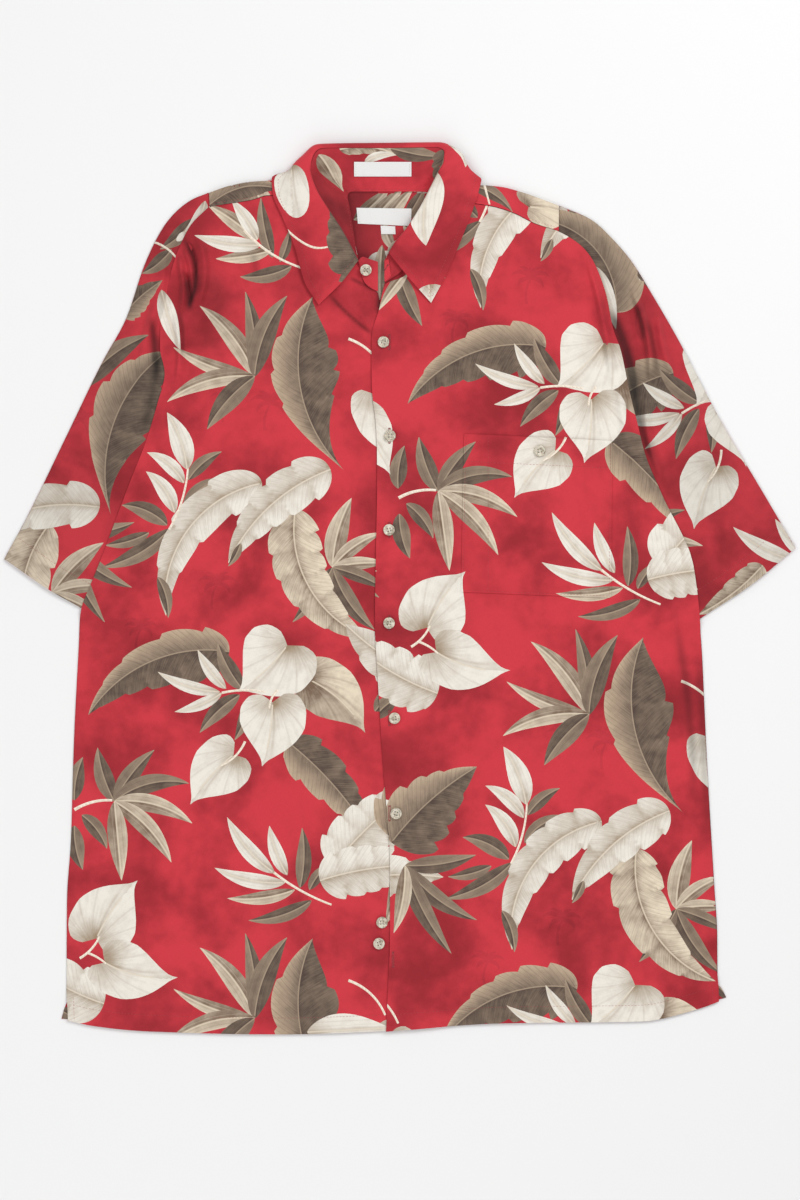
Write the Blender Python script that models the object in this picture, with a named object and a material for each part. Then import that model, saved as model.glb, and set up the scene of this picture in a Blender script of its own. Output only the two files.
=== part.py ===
"""A short-sleeved shirt with a pointed collar and one chest pocket, lying flat on its back.

X runs across the shirt, Y from the hem to the collar, Z up from the surface it lies on.
Right and left are the wearer's, so the right front is on the -X side. All lengths are in
millimetres and turn to metres where a mesh is made.
"""

import math

import bpy
import numpy as np

METRES = 0.001

# Walls of one layer of cloth, of the band and of the lined leaf, and the gap kept at seams.
CLOTH = 1.0
BAND_WALL = 1.2
COLLAR_WALL = 1.4
SEAM = 0.3

# Heights that the layers lie at, each to the middle of the wall.
AIR = 0.4
FLOOR_LAYER = CLOTH / 2
SLEEVE_TOP = FLOOR_LAYER + CLOTH + AIR
FRONT_REST = SLEEVE_TOP
FRONT_OVER_SLEEVE = SLEEVE_TOP + CLOTH + AIR
FRONT_OVER_FRONT = FRONT_REST + CLOTH + AIR + 0.2
SHOULDER_TOP = FRONT_OVER_SLEEVE - 0.1
PANEL_ON_PANEL = CLOTH + 0.5

# How far the fronts stay lifted from an edge, then over what length they come down.
LIFT_AT_ARMHOLE = (22.0, 45.0)
LIFT_AT_SEAM = (4.0, 40.0)
LIFT_AT_NECK = (14.0, 40.0)
LIFT_AT_OVERLAP = (36.0, 34.0)
OVERLAP_DROP_AT_NECK = 0.2

# Side edges: the front rolls down outside the back's edge.
ROLL = 3.0
ROLL_FOOT = 0.1
BACK_INSET = CLOTH + 1.4

# Shoulder and sleeve folds.
ROLL_ANGLES = (-45, 0, 45)
SLEEVE_FOLD_RADIUS = 0.9
SLEEVE_CLEAR = (25.0, 30.0)
SLEEVE_PUFF = 1.2

# Body outline and openings, a row for each section from the hem up.
# side: outer edge of the front. edge: its free edge at the buttons, then the neckline.
FRONT_RIGHT_ROWS = (
    # side_x, side_y, edge_x, edge_y
    (-315.4, -409.9, 4.8, -419.4),
    (-316.3, -390.9, 4.8, -398.5),
    (-316.8, -376.7, 4.3, -381.4),
    (-316.3, -295.9, 3.8, -295.9),
    (-312.6, -238.9, 2.8, -234.2),
    (-309.7, -143.9, 1.9, -143.9),
    (-304.9, -48.9, 1.9, -48.9),
    (-304.3, -31.8, 1.9, -31.8),
    (-302.8, -19.5, 1.9, -17.6),
    (-285.5, 24.2, 1.9, 27.1),
    (-256.5, 101.2, 1.9, 101.2),
    (-242.2, 137.3, 1.9, 137.3),
    (-230.8, 174.3, 1.9, 179.1),
    (-223.5, 204.0, -2.8, 224.7),
    (-228.0, 228.0, -8.0, 243.0),
    (-228.0, 252.0, -18.1, 264.5),
    (-220.4, 289.3, -20.9, 280.7),
    (-214.7, 310.2, -34.2, 290.2),
    (-209.0, 325.4, -39.9, 314.0),
    (-198.5, 345.3, -44.6, 338.7),
    (-181.4, 362.4, -48.6, 364.5),
)
FRONT_LEFT_ROWS = (
    (303.1, -391.9, -13.3, -420.4),
    (302.6, -376.7, -12.3, -400.4),
    (301.6, -362.4, -11.4, -376.7),
    (301.4, -329.2, -9.5, -331.1),
    (298.3, -276.9, -9.5, -260.8),
    (291.6, -162.9, -16.1, -167.7),
    (287.0, -62.4, -22.4, -64.1),
    (285.6, -42.0, -23.8, -40.0),
    (285.0, -29.4, -23.8, -20.4),
    (278.3, 24.2, -22.8, 36.6),
    (249.4, 87.9, -21.8, 93.6),
    (232.8, 127.8, -21.8, 126.8),
    (225.7, 156.3, -22.8, 155.3),
    (217.5, 189.5, -26.6, 188.6),
    (209.9, 225.6, -27.1, 217.1),
    (202.3, 247.5, -26.6, 240.8),
    (195.7, 279.8, -19.9, 264.6),
    (182.4, 313.0, -14.2, 288.3),
    (171.9, 325.4, 5.0, 297.0),
    (161.5, 333.0, 22.8, 334.5),
    (149.2, 339.6, 31.0, 364.3),
)
# Rows of those tables at which the side vents end, the sleeves join and the neckline starts.
VENT_ROW = 1
ARMPIT_ROW = 8
NECK_START_Y = 270.5
HEM_RIGHT = ((-315.4, -409.9), (-294.5, -414.7), (-237.5, -420.4), (-114.0, -423.2), (4.8, -419.4))
HEM_LEFT = ((303.1, -391.9), (285.0, -398.5), (228.0, -410.9), (95.0, -412.8), (-13.3, -420.4))

# Shoulders: the fold where the yoke turns over, and the seam where it meets each front.
SHOULDER_RIGHT = (
    (-181.4, 375.7), (-161.5, 382.4), (-140.6, 386.2), (-121.6, 387.2), (-104.5, 383.3), (-52.8, 379.0),
)
SHOULDER_LEFT = ((31.3, 379.0), (55.1, 380.5), (77.0, 382.8), (95.0, 381.4), (114.0, 376.7), (151.0, 363.4))
YOKE_SEAM_RIGHT = (
    (-179.2, 363.8), (-163.4, 366.2), (-140.6, 370.0), (-125.4, 374.3), (-95.0, 373.0), (-52.8, 366.5),
)
YOKE_SEAM_LEFT = ((31.3, 366.0), (57.0, 367.5), (85.5, 364.3), (105.4, 358.6), (129.2, 347.2), (149.2, 341.0))
YOKE_SEAM_BACK = 274.0

# The back: its vent corners, from the hem up, which show past the fronts, its hem and underarms.
BACK_VENT_RIGHT = ((-320.6, -407.5), (-320.9, -394.5), (-315.0, -390.5))
BACK_VENT_LEFT = ((309.4, -388.0), (309.7, -379.5), (300.2, -376.0))
BACK_HEM = (
    (-320.6, -407.5), (-237.5, -417.4), (-114.0, -420.2), (95.0, -409.8), (228.0, -407.9), (309.4, -388.0),
)
UNDERARM_RIGHT = (-301.6, -20.4)
UNDERARM_LEFT = (284.0, -30.6)

# Armholes, from the shoulder fold down to the underarm, tucked in under the fronts, and the
# points of them at which the yoke ends.
YOKE_END_RIGHT = (-208.0, 274.0)
YOKE_END_LEFT = (182.6, 274.0)
ARMHOLE_RIGHT = (
    (-181.4, 375.7), (-179.6, 363.4), (-188.1, 344.4), (-196.6, 323.5), (-202.3, 304.5), (-208.0, 274.0),
    (-214.5, 248.0), (-214.2, 224.7), (-212.0, 203.0), (-218.5, 174.3), (-229.9, 137.3), (-244.1, 101.2),
    (-259.3, 66.0), (-269.8, 27.1), (-275.5, -3.3),
)
ARMHOLE_LEFT = (
    (151.0, 363.4), (150.2, 343.5), (161.5, 323.5), (175.8, 297.8), (182.6, 274.0), (189.0, 245.6),
    (196.6, 223.7), (204.2, 189.5), (212.8, 156.3), (220.4, 127.8), (236.5, 87.9), (252.8, 55.6),
    (264.0, 24.2), (268.0, -14.0),
)
# The sleeves' outer folds from the cuff to the shoulder, and the cuffs from there to the underarm.
SLEEVE_FOLD_RIGHT = (
    (-375.5, 28.0), (-355.3, 65.1), (-318.2, 141.1), (-281.2, 217.1), (-260.3, 255.1), (-240.3, 312.1),
    (-219.4, 350.1), (-197.6, 369.1), (-181.4, 375.7),
)
SLEEVE_FOLD_LEFT = (
    (375.4, 38.5), (348.6, 84.1), (304.0, 160.1), (264.1, 236.1), (242.2, 274.1), (218.5, 312.1),
    (202.3, 331.1), (181.4, 350.1), (151.0, 363.4),
)
CUFF_RIGHT = ((-375.5, 28.0), (-328.2, -4.3), (-303.1, -18.1))
CUFF_LEFT = ((375.4, 38.5), (334.4, 4.3), (285.7, -28.0))

# Collar sections from the point of the right leaf round the back to the left one.
# base: seam to the neckline. fold: roll line. out: where the leaf turns under, or its middle.
COLLAR_ROWS = (
    # base x, y, z, fold x, y, z, out x, y, z, edge x, y, z
    (-37.0, 300.7, 4.9, -40.4, 309.7, 9.5, -56.0, 289.3, 7.4, -77.0, 268.9, 5.2),
    (-40.8, 315.9, 4.9, -47.5, 323.5, 13.5, -68.4, 310.2, 9.5, -90.2, 290.2, 5.2),
    (-43.7, 334.9, 4.9, -56.0, 338.7, 15.5, -78.9, 330.1, 11.0, -100.2, 325.4, 5.2),
    (-46.1, 352.0, 4.9, -68.4, 357.7, 16.0, -90.2, 352.9, 11.5, -111.6, 352.9, 5.2),
    (-48.4, 364.3, 4.8, -79.8, 376.7, 15.5, -101.6, 372.9, 11.0, -120.6, 374.8, 5.2),
    (-49.9, 371.9, 4.6, -85.0, 390.9, 15.0, -104.5, 388.1, 10.5, -121.6, 389.0, 5.0),
    (-49.0, 376.7, 4.4, -86.5, 400.4, 14.0, -102.6, 398.5, 8.5, -109.3, 393.8, 2.6),
    (-47.5, 379.0, 2.4, -84.6, 409.9, 13.0, -91.2, 411.4, 6.5, -92.2, 389.5, 0.9),
    (-41.8, 379.5, 2.0, -76.0, 418.5, 11.0, -77.9, 420.9, 5.5, -71.3, 386.2, 0.8),
    (-20.9, 379.5, 2.0, -20.9, 419.9, 9.0, -20.9, 422.5, 4.5, -20.9, 383.3, 0.8),
    (7.6, 379.5, 2.0, 34.2, 419.9, 11.0, 36.1, 422.7, 5.5, 22.8, 385.7, 0.8),
    (17.1, 379.5, 2.4, 43.7, 414.7, 13.0, 51.8, 417.5, 6.5, 44.6, 388.6, 0.9),
    (24.7, 379.0, 3.8, 42.8, 405.2, 14.0, 60.3, 408.5, 8.5, 65.0, 391.4, 2.6),
    (29.5, 377.1, 4.6, 37.1, 393.8, 15.0, 60.8, 396.6, 10.5, 77.0, 387.6, 5.0),
    (31.3, 371.0, 4.8, 29.5, 378.6, 15.5, 52.3, 376.7, 11.0, 73.2, 371.9, 5.2),
    (28.5, 355.8, 4.9, 19.0, 358.6, 16.0, 41.8, 352.0, 11.5, 65.6, 350.1, 5.2),
    (20.0, 333.9, 4.9, 6.7, 339.6, 15.5, 28.5, 330.1, 11.0, 56.1, 326.3, 5.2),
    (9.5, 314.0, 4.9, -3.8, 327.3, 13.5, 18.1, 313.0, 9.5, 42.8, 295.9, 5.2),
    (0.0, 299.7, 4.9, -10.0, 317.3, 9.5, 9.5, 293.1, 7.4, 29.5, 270.8, 5.2),
)
# The band's two front ends, which lie flat beyond the leaves.
BAND_END_RIGHT = (
    # base x, y, z, top x, y, z
    (-20.9, 281.7, 5.0, -20.9, 309.7, 5.4),
    (-28.5, 285.5, 5.0, -29.5, 312.5, 6.2),
    (-34.2, 291.2, 5.0, -35.6, 314.4, 7.6),
)
BAND_END_LEFT = (
    (-8.6, 296.4, 5.0, -10.9, 312.1, 7.2),
    (-15.2, 289.8, 5.0, -15.2, 310.2, 5.6),
)
# Distances below the roll line where the leaf starts and the band ends, and how far the band
# keeps its direction before it bends out to the neckline, as a share of its height.
ROLL_START = 2.6
STAND_TOP = 3.0
STAND_BEND = 0.45

# Chest pocket: corners from the lower left one round.
POCKET = ((57.9, -3.3), (200.4, -9.0), (201.4, 140.1), (60.8, 146.8))

# Soft folds: ridges of the laid cloth, from one end to the other.
FOLDS_RIGHT = (
    # x0, y0, x1, y1, width, height
    (-195.0, 345.0, -192.0, 290.0, 9.0, 1.6),
    (-222.0, 300.0, -208.0, 232.0, 7.0, 1.2),
    (-37.0, 254.0, -27.0, 241.0, 6.0, 1.6),
    (-255.0, -60.0, -275.0, -330.0, 26.0, 1.6),
    (-150.0, 210.0, -110.0, -40.0, 34.0, 1.2),
    (-70.0, -60.0, -60.0, -340.0, 30.0, 1.0),
    (-190.0, 60.0, -160.0, -260.0, 30.0, 0.9),
)
FOLDS_LEFT = (
    (120.0, 290.0, 60.0, 180.0, 30.0, 1.1),
    (60.0, -60.0, 50.0, -330.0, 30.0, 1.0),
    (245.0, 20.0, 262.0, -300.0, 26.0, 1.6),
    (150.0, -80.0, 170.0, -340.0, 34.0, 1.2),
    (190.0, 250.0, 200.0, 190.0, 14.0, 0.8),
)
FOLDS_SLEEVE_RIGHT = (
    (-235.0, 300.0, -300.0, 120.0, 14.0, 1.6),
    (-265.0, 140.0, -330.0, 30.0, 16.0, 1.4),
)
FOLDS_SLEEVE_LEFT = (
    (226.0, 270.0, 300.0, 100.0, 13.0, 1.7),
    (262.0, 196.0, 330.0, 40.0, 16.0, 1.3),
)

BUTTON_RADIUS = 5.5
BUTTON_THICK = 2.4
BUTTON_DISH = 0.7
BUTTON_HOLE = 0.65
BUTTON_PITCH = 1.25
BUTTON_HOLE_SIDES = 6
BUTTON_SIDES = 16
BUTTONS = {
    # x, y, the piece it is sewn to
    "button_1": (-15.7, 233.7, "front_left"),
    "button_2": (-9.5, 144.9, "front_left"),
    "button_3": (-10.4, 55.6, "front_left"),
    "button_4": (-10.4, -32.8, "front_left"),
    "button_5": (-5.2, -123.0, "front_left"),
    "button_6": (-3.8, -213.3, "front_left"),
    "button_7": (-17.1, -316.8, "front_right"),
    "button_8": (-19.9, -336.8, "front_right"),
    "button_stand": (-32.3, 301.6, "collar_stand"),
    "button_pocket": (132.5, 130.6, "pocket"),
}

LABEL_WALL = 1.0
BAND_SLACK = 0.15
# Corners from the lower left one round.
LABEL_NECK = ((-40.0, 346.5), (10.6, 344.2), (10.9, 360.8), (-41.3, 361.5))
LABEL_SIZE = ((-17.8, 336.6), (-4.2, 336.4), (-4.6, 343.9), (-18.4, 344.6))
LABEL_CARE = ((-43.5, 390.6), (10.8, 390.6), (10.8, 404.0), (-43.5, 404.0))

# Where the panels are cut into faces: shares across, and row numbers of the tables above.
FRONT_SHARES = (0, 0.0025, 0.007, 0.013, 0.04, 0.09, 0.18, 0.29, 0.40, 0.51, 0.62, 0.73, 0.83, 0.92, 1)
FRONT_SECTIONS = (
    0, 0.5, 1, 1.5, 2.4, 3.4, 4.3, 5, 5.5, 6, 6.5, 7, 7.5, 8, 8.5, 9, 9.6, 10.3, 11.2, 12.2, 13.1, 14,
    14.8, 15.6, 16.4, 17.2, 18, 18.7, 19.4, 20,
)
BACK_SECTIONS = (2, 2.5, 3, 3.5, 4, 4.5, 5, 5.5, 6, 6.6, 7)
BACK_COLUMNS = 9
ARM_ROWS_YOKE = 6
ARM_ROWS_BACK = 12
NECK_COLUMNS = 5
SHOULDER_COLUMNS = 8
SLEEVE_STATIONS = (0, 0.08, 0.18, 0.29, 0.40, 0.51, 0.62, 0.72, 0.81, 0.88, 0.94, 1)
COLLAR_SHARES = (0.0, 0.07, 0.14, 0.22, 0.32, 0.48, 0.72, 1.0)
STAND_ROWS = 6
POCKET_COLUMNS = 8

RED_CLOTH = (0.55, 0.045, 0.055)
HORN = (0.55, 0.50, 0.40)
WHITE_TAPE = (0.80, 0.80, 0.78)


def unit(vectors):
    """The vectors at length one."""
    lengths = np.linalg.norm(vectors, axis=-1, keepdims=True)
    return vectors / np.maximum(lengths, 1e-9)


def eased(t):
    """0 to 1 with flat ends, as t goes from 0 to 1."""
    t = np.clip(t, 0.0, 1.0)
    return t * t * (3 - 2 * t)


def smooth(keys, values, at):
    """Values at `at` on the curve through (keys, values), which never overshoots them."""
    keys, values, at = (np.asarray(a, float) for a in (keys, values, at))
    step = np.diff(keys)
    slope = np.diff(values) / step
    tangent = np.zeros(len(keys))
    tangent[0], tangent[-1] = slope[0], slope[-1]
    before, after = slope[:-1], slope[1:]
    turns = before * after > 0
    weight_a, weight_b = 2 * step[1:] + step[:-1], step[1:] + 2 * step[:-1]
    mean = (weight_a + weight_b)[turns] / (weight_a[turns] / before[turns] + weight_b[turns] / after[turns])
    tangent[1:-1][turns] = mean
    i = np.clip(np.searchsorted(keys, at) - 1, 0, len(step) - 1)
    t = (at - keys[i]) / step[i]
    return (
        (2 * t**3 - 3 * t**2 + 1) * values[i]
        + (t**3 - 2 * t**2 + t) * step[i] * tangent[i]
        + (3 * t**2 - 2 * t**3) * values[i + 1]
        + (t**3 - t**2) * step[i] * tangent[i + 1]
    )


def along(points, shares):
    """Points at the given shares of the way along a smooth curve through `points`."""
    points = np.asarray(points, float)
    run = np.concatenate([[0.0], np.cumsum(np.linalg.norm(np.diff(points, axis=0), axis=1))])
    at = np.asarray(shares) * run[-1]
    return np.stack([smooth(run, points[:, k], at) for k in range(points.shape[1])], axis=-1)


def share_at(points, k):
    """The share of the way along the curve at which its point k lies."""
    points = np.asarray(points, float)
    run = np.concatenate([[0.0], np.cumsum(np.linalg.norm(np.diff(points, axis=0), axis=1))])
    return run[k] / run[-1]


def rows_of(table, places):
    """The table's rows, read smoothly at fractional row numbers."""
    table = np.asarray(table, float)
    numbers = np.arange(len(table))
    return np.stack([smooth(numbers, column, places) for column in table.T], axis=-1)


def patch(start, end, low, high):
    """Plan points between four edges. start, end: points up both sides. low, high: across."""
    start, end, low, high = (np.asarray(a, float) for a in (start, end, low, high))
    u = np.linspace(0, 1, len(low))[None, :, None]
    v = np.linspace(0, 1, len(start))[:, None, None]
    between = (1 - u) * start[:, None] + u * end[:, None]
    low_bow = low - ((1 - u[0]) * low[0] + u[0] * low[-1])
    high_bow = high - ((1 - u[0]) * high[0] + u[0] * high[-1])
    return between + (1 - v) * low_bow[None] + v * high_bow[None]


def ridges(folds, plan):
    """Height that the soft folds add at each plan point."""
    height = np.zeros(plan.shape[:-1])
    for x0, y0, x1, y1, width, rise in folds:
        line = np.array((x1 - x0, y1 - y0))
        away = plan - (x0, y0)
        t = np.clip((away @ line) / (line @ line), 0, 1)
        distance = np.linalg.norm(away - t[..., None] * line, axis=-1)
        height = height + rise * np.exp(-((distance / width) ** 2))
    return height


def near(distance, full, fade):
    """1 up to `full` away, falling to 0 over the next `fade`."""
    return 1 - eased((distance - full) / fade)


def material(name, colour, roughness):
    """A plain opaque surface."""
    made = bpy.data.materials.new(name)
    made.use_nodes = True
    shader = made.node_tree.nodes["Principled BSDF"]
    shader.inputs["Base Color"].default_value = (*colour, 1)
    shader.inputs["Roughness"].default_value = roughness
    shader.inputs["Metallic"].default_value = 0
    made.diffuse_color = (*colour, 1)
    return made


def add_object(name, points, faces, surface):
    """A shaded object from points in millimetres."""
    mesh = bpy.data.meshes.new(name)
    mesh.from_pydata((np.asarray(points) * METRES).tolist(), [], faces)
    mesh.materials.append(surface)
    mesh.shade_smooth()
    mesh.set_sharp_from_angle(angle=math.radians(40))
    made = bpy.data.objects.new(name, mesh)
    bpy.context.scene.collection.objects.link(made)
    return made


def tangents(centre, axis, ring):
    """Mean direction of the two steps that meet at each point, along one axis of the grid."""
    if ring:
        step = unit(np.roll(centre, -1, axis) - centre)
        return unit(step + np.roll(step, 1, axis))
    step = unit(np.diff(centre, axis=axis))
    first = np.take(step, [0], axis)
    last = np.take(step, [-1], axis)
    return unit(np.concatenate([first, step], axis) + np.concatenate([step, last], axis))


def wall(name, centre, thickness, surface, ring=False, kept=None, sideways=None):
    """A cloth wall whose middle runs through a grid of points.

    ring joins the last column to the first, kept says which cells of the grid are cloth,
    and sideways is the direction across the rows where it isn't read from the grid.
    """
    centre = np.asarray(centre, float)
    rows, columns = centre.shape[:2]
    across = tangents(centre, 1, ring) if sideways is None else np.broadcast_to(sideways, centre.shape)
    up = tangents(centre, 0, False)
    normal = unit(np.cross(across, up))
    outer = centre + normal * thickness / 2
    inner = centre - normal * thickness / 2
    for side in (outer, inner):
        side[..., 2] = np.maximum(side[..., 2], 0.0)
    spans = columns if ring else columns - 1
    if kept is None:
        kept = np.ones((rows - 1, spans), bool)
    top = np.arange(rows * columns).reshape(rows, columns)
    down = rows * columns
    faces, edges = [], set()
    for i, j in zip(*np.nonzero(kept)):
        k = (j + 1) % columns
        cell = [int(corner) for corner in (top[i, j], top[i, k], top[i + 1, k], top[i + 1, j])]
        faces.append(cell)
        faces.append([corner + down for corner in reversed(cell)])
        for a, b in zip(cell, cell[1:] + cell[:1]):
            if (b, a) in edges:
                edges.remove((b, a))
            else:
                edges.add((a, b))
    for a, b in sorted(edges):
        faces.append([b, a, a + down, b + down])
    used = sorted({corner for face in faces for corner in face})
    number = {corner: k for k, corner in enumerate(used)}
    points = np.concatenate([outer.reshape(-1, 3), inner.reshape(-1, 3)])[used]
    add_object(name, points, [[number[corner] for corner in face] for face in faces], surface)


def with_height(plan, height):
    """Plan points at the given height."""
    return np.concatenate([plan, np.broadcast_to(height, plan.shape[:-1])[..., None]], axis=-1)


def bow(points):
    """How far each point lies from the straight line between the first and the last."""
    run = np.concatenate([[0.0], np.cumsum(np.linalg.norm(np.diff(points, axis=0), axis=1))])
    t = (run / run[-1])[:, None]
    return points - ((1 - t) * points[0] + t * points[-1])


def front_panel(rows, hem, seam, folds, over):
    """Middle points of one front, from its side edge to its free edge and from the hem up."""
    sections = rows_of(rows, FRONT_SECTIONS)
    side, edge = sections[:, :2], sections[:, 2:]
    inward = np.array((np.sign(edge[0, 0] - side[0, 0]), 0.0))
    side = side + inward * CLOTH / 2
    u = np.array(FRONT_SHARES)[None, :, None]
    v = np.linspace(0, 1, len(FRONT_SECTIONS))[:, None, None]
    plan = (1 - u) * side[:, None] + u * edge[:, None]
    plan = plan + (1 - eased(v * 3)) * bow(along(hem, FRONT_SHARES))[None]
    plan = plan + eased(v * 6 - 5) * bow(along(seam, FRONT_SHARES))[None]

    from_side = np.linalg.norm(plan - plan[:, :1], axis=-1)
    from_edge = np.linalg.norm(plan - plan[:, -1:], axis=-1)
    from_top = np.linalg.norm(plan - plan[-1:], axis=-1)
    side_y, edge_y = plan[:, :1, 1], plan[:, -1:, 1]
    at_sleeve = eased((side_y - rows[ARMPIT_ROW][1] + 13) / 12)
    at_neck = eased((edge_y - NECK_START_Y) / 12)
    lift = near(from_side, *LIFT_AT_ARMHOLE) * at_sleeve * (FRONT_OVER_SLEEVE - FRONT_REST)
    lift = np.maximum(lift, near(from_top, *LIFT_AT_SEAM) * (SHOULDER_TOP - FRONT_REST))
    lift = np.maximum(lift, near(from_edge, *LIFT_AT_NECK) * at_neck * (SHOULDER_TOP - FRONT_REST))
    if over:
        lift_front = near(from_edge, *LIFT_AT_OVERLAP) * (FRONT_OVER_FRONT - FRONT_REST)
        lift = np.maximum(lift, lift_front * (1 - OVERLAP_DROP_AT_NECK * at_neck))
    inside = eased(from_side / 30) * eased(from_edge / 50) * eased(from_top / 30)
    height = FRONT_REST + lift + inside * ridges(folds, plan)

    rolled = (1 - at_sleeve) * eased((side_y - rows[VENT_ROW][1] + 1) / 10)
    turn = np.clip(1 - from_side / ROLL, 0, 1)
    drop = 1 - np.sqrt(np.maximum(1 - turn**2, 0))
    height = height - rolled * drop * (height - ROLL_FOOT)
    return with_height(plan, height)


def armhole(curve, seam_at):
    """Points down an armhole and their shares of its length.

    The yoke runs along the first ARM_ROWS_YOKE of them, down to point seam_at of the curve.
    The sleeve, the yoke and the back all use these points, so their seams match.
    """
    join = share_at(curve, seam_at)
    shares = np.concatenate([np.linspace(0, join, ARM_ROWS_YOKE), np.linspace(join, 1, ARM_ROWS_BACK)[1:]])
    return along(curve, shares), shares


def build_back(cloth, arm_right, arm_left):
    """The back panel, flat on the surface from the back yoke seam to the hem."""
    body_right = rows_of(FRONT_RIGHT_ROWS, BACK_SECTIONS)[:, :2] + (BACK_INSET, 0)
    body_left = rows_of(FRONT_LEFT_ROWS, BACK_SECTIONS)[:, :2] - (BACK_INSET, 0)
    step = np.array((SEAM, 0.0))
    upward = slice(None, ARM_ROWS_YOKE - 2, -1)
    start = np.concatenate([BACK_VENT_RIGHT, body_right, [UNDERARM_RIGHT], arm_right[upward] + step])
    end = np.concatenate([BACK_VENT_LEFT, body_left, [UNDERARM_LEFT], arm_left[upward] - step])
    shares = np.linspace(0, 1, BACK_COLUMNS)
    plan = patch(start, end, along(BACK_HEM, shares), along((start[-1], end[-1]), shares))
    wall("back", with_height(plan, FLOOR_LAYER), CLOTH, cloth)


def build_yoke(cloth, arm_right, arm_left):
    """The yoke: one layer on the surface, turned over each shoulder to the front seam."""
    shares = np.linspace(0, 1, SHOULDER_COLUMNS)
    fold_right, fold_left = along(SHOULDER_RIGHT, shares), along(SHOULDER_LEFT, shares)
    seam_right, seam_left = along(YOKE_SEAM_RIGHT, shares), along(YOKE_SEAM_LEFT, shares)
    neck_x = np.linspace(fold_right[-1, 0], fold_left[0, 0], NECK_COLUMNS + 2)[1:-1]
    neck = np.stack([neck_x, np.full(NECK_COLUMNS, fold_right[-1, 1])], axis=-1)
    fold = np.concatenate([fold_right, neck, fold_left])
    seam = np.concatenate([seam_right, neck, seam_left])
    radius = (SHOULDER_TOP - FLOOR_LAYER) / 2
    foot = fold - (0, radius + CLOTH / 2)

    step = np.array((SEAM, 0.0))
    start = arm_right[ARM_ROWS_YOKE - 1::-1] + step
    end = arm_left[ARM_ROWS_YOKE - 1::-1] - step
    start[0, 1] = end[0, 1] = YOKE_SEAM_BACK + SEAM
    start[-1], end[-1] = foot[0] + step, foot[-1] - step
    low_x = np.interp(foot[:, 0], foot[[0, -1], 0], (start[0, 0], end[0, 0]))
    low = np.stack([low_x, np.full(len(foot), start[0, 1])], axis=-1)
    floor = with_height(patch(start, end, low, foot), FLOOR_LAYER)
    turned = []
    for angle in ROLL_ANGLES:
        a = math.radians(angle)
        height = FLOOR_LAYER + radius * (1 + math.sin(a))
        turned.append(with_height(foot + (0, radius * math.cos(a)), height))
    on_top = [with_height(foot + t * (seam + (0, SEAM) - foot), SHOULDER_TOP) for t in (0, 0.3, 0.65, 1)]
    centre = np.concatenate([floor, np.stack(turned + on_top)])
    kept = np.ones((len(centre) - 1, len(fold) - 1), bool)
    kept[len(floor) - 1:, SHOULDER_COLUMNS - 1:SHOULDER_COLUMNS + NECK_COLUMNS] = False
    wall("yoke", centre, CLOTH, cloth, kept=kept, sideways=(1.0, 0.0, 0.0))
    return floor


def turned_edge(end, inner, top):
    """Points of a fold from the layer on the surface up to `top`, with its outside at `end`."""
    radius = (top - FLOOR_LAYER) / 2
    outward = unit(end - inner)
    middle = end - outward * (radius + CLOTH / 2)
    angles = np.radians((-90, -45, 0, 45, 90))[:, None]
    plan = middle + outward * radius * np.cos(angles)
    return with_height(plan, FLOOR_LAYER + radius * (1 + np.sin(angles[:, 0])))


def build_sleeve(name, cloth, hole, outer_fold, cuff, folds):
    """A sleeve: a flattened tube, a ring of points for each station from cuff to armhole."""
    away = np.sign(outer_fold[0][0])
    arm, arm_shares = hole
    arm = arm + (away * SEAM, 0)
    cuff_points = along(cuff, arm_shares)
    outer = along(outer_fold, SLEEVE_STATIONS)
    outer[-1] = arm[0]
    v = np.array(SLEEVE_STATIONS)[:, None]
    under = (1 - v) * cuff_points[-1] + v * arm[-1]
    t = arm_shares[None, :, None]
    v = v[:, :, None]
    plan = (1 - v) * cuff_points[None] + v * arm[None]
    plan = plan + (1 - t) * (outer - plan[:, 0])[:, None] + t * (under - plan[:, -1])[:, None]

    from_arm = np.linalg.norm(plan - plan[-1:], axis=-1)
    clear = eased((from_arm - SLEEVE_CLEAR[0]) / SLEEVE_CLEAR[1])
    crown = np.sin(math.pi * np.clip(arm_shares, 0, 1))[None, :] ** 0.5
    height = SLEEVE_TOP + clear * crown * (SLEEVE_PUFF + ridges(folds, plan))
    height[:, 0] = FLOOR_LAYER + 2 * SLEEVE_FOLD_RADIUS
    height[:, -1] = SLEEVE_TOP

    rings = []
    for points, heights in zip(plan, height):
        lower = with_height(points[1:-1], FLOOR_LAYER)
        upper = with_height(points[-2:0:-1], heights[-2:0:-1])
        underarm = turned_edge(points[-1], points[-2], heights[-1])
        outer_turn = turned_edge(points[0], points[1], heights[0])[::-1]
        rings.append(np.concatenate([lower, underarm, upper, outer_turn]))
    rings = np.array(rings)
    if away > 0:
        rings = rings[:, ::-1]
    wall(name, rings, CLOTH, cloth, ring=True)


def collar_sections():
    """The collar's sections, closer together than the table's rows."""
    places = np.concatenate([np.linspace(0, 5, 9), np.linspace(5.5, 12.5, 13), np.linspace(13, 18, 9)])
    rows = rows_of(COLLAR_ROWS, places)
    return rows[:, :3], rows[:, 3:6], rows[:, 6:9], rows[:, 9:]


def roll_direction(base, fold, out, edge):
    """Direction from the roll line down into the band, and how far the leaf is turned under."""
    under = np.clip((4 - edge[:, 2:]) / 3, 0, 1)
    outward = unit((out - fold)[:, :2])
    steep = unit(np.concatenate([-0.3 * outward, np.full((len(fold), 1), -1.0)], axis=1))
    return unit(under * unit(base - fold) + (1 - under) * steep), under


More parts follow.
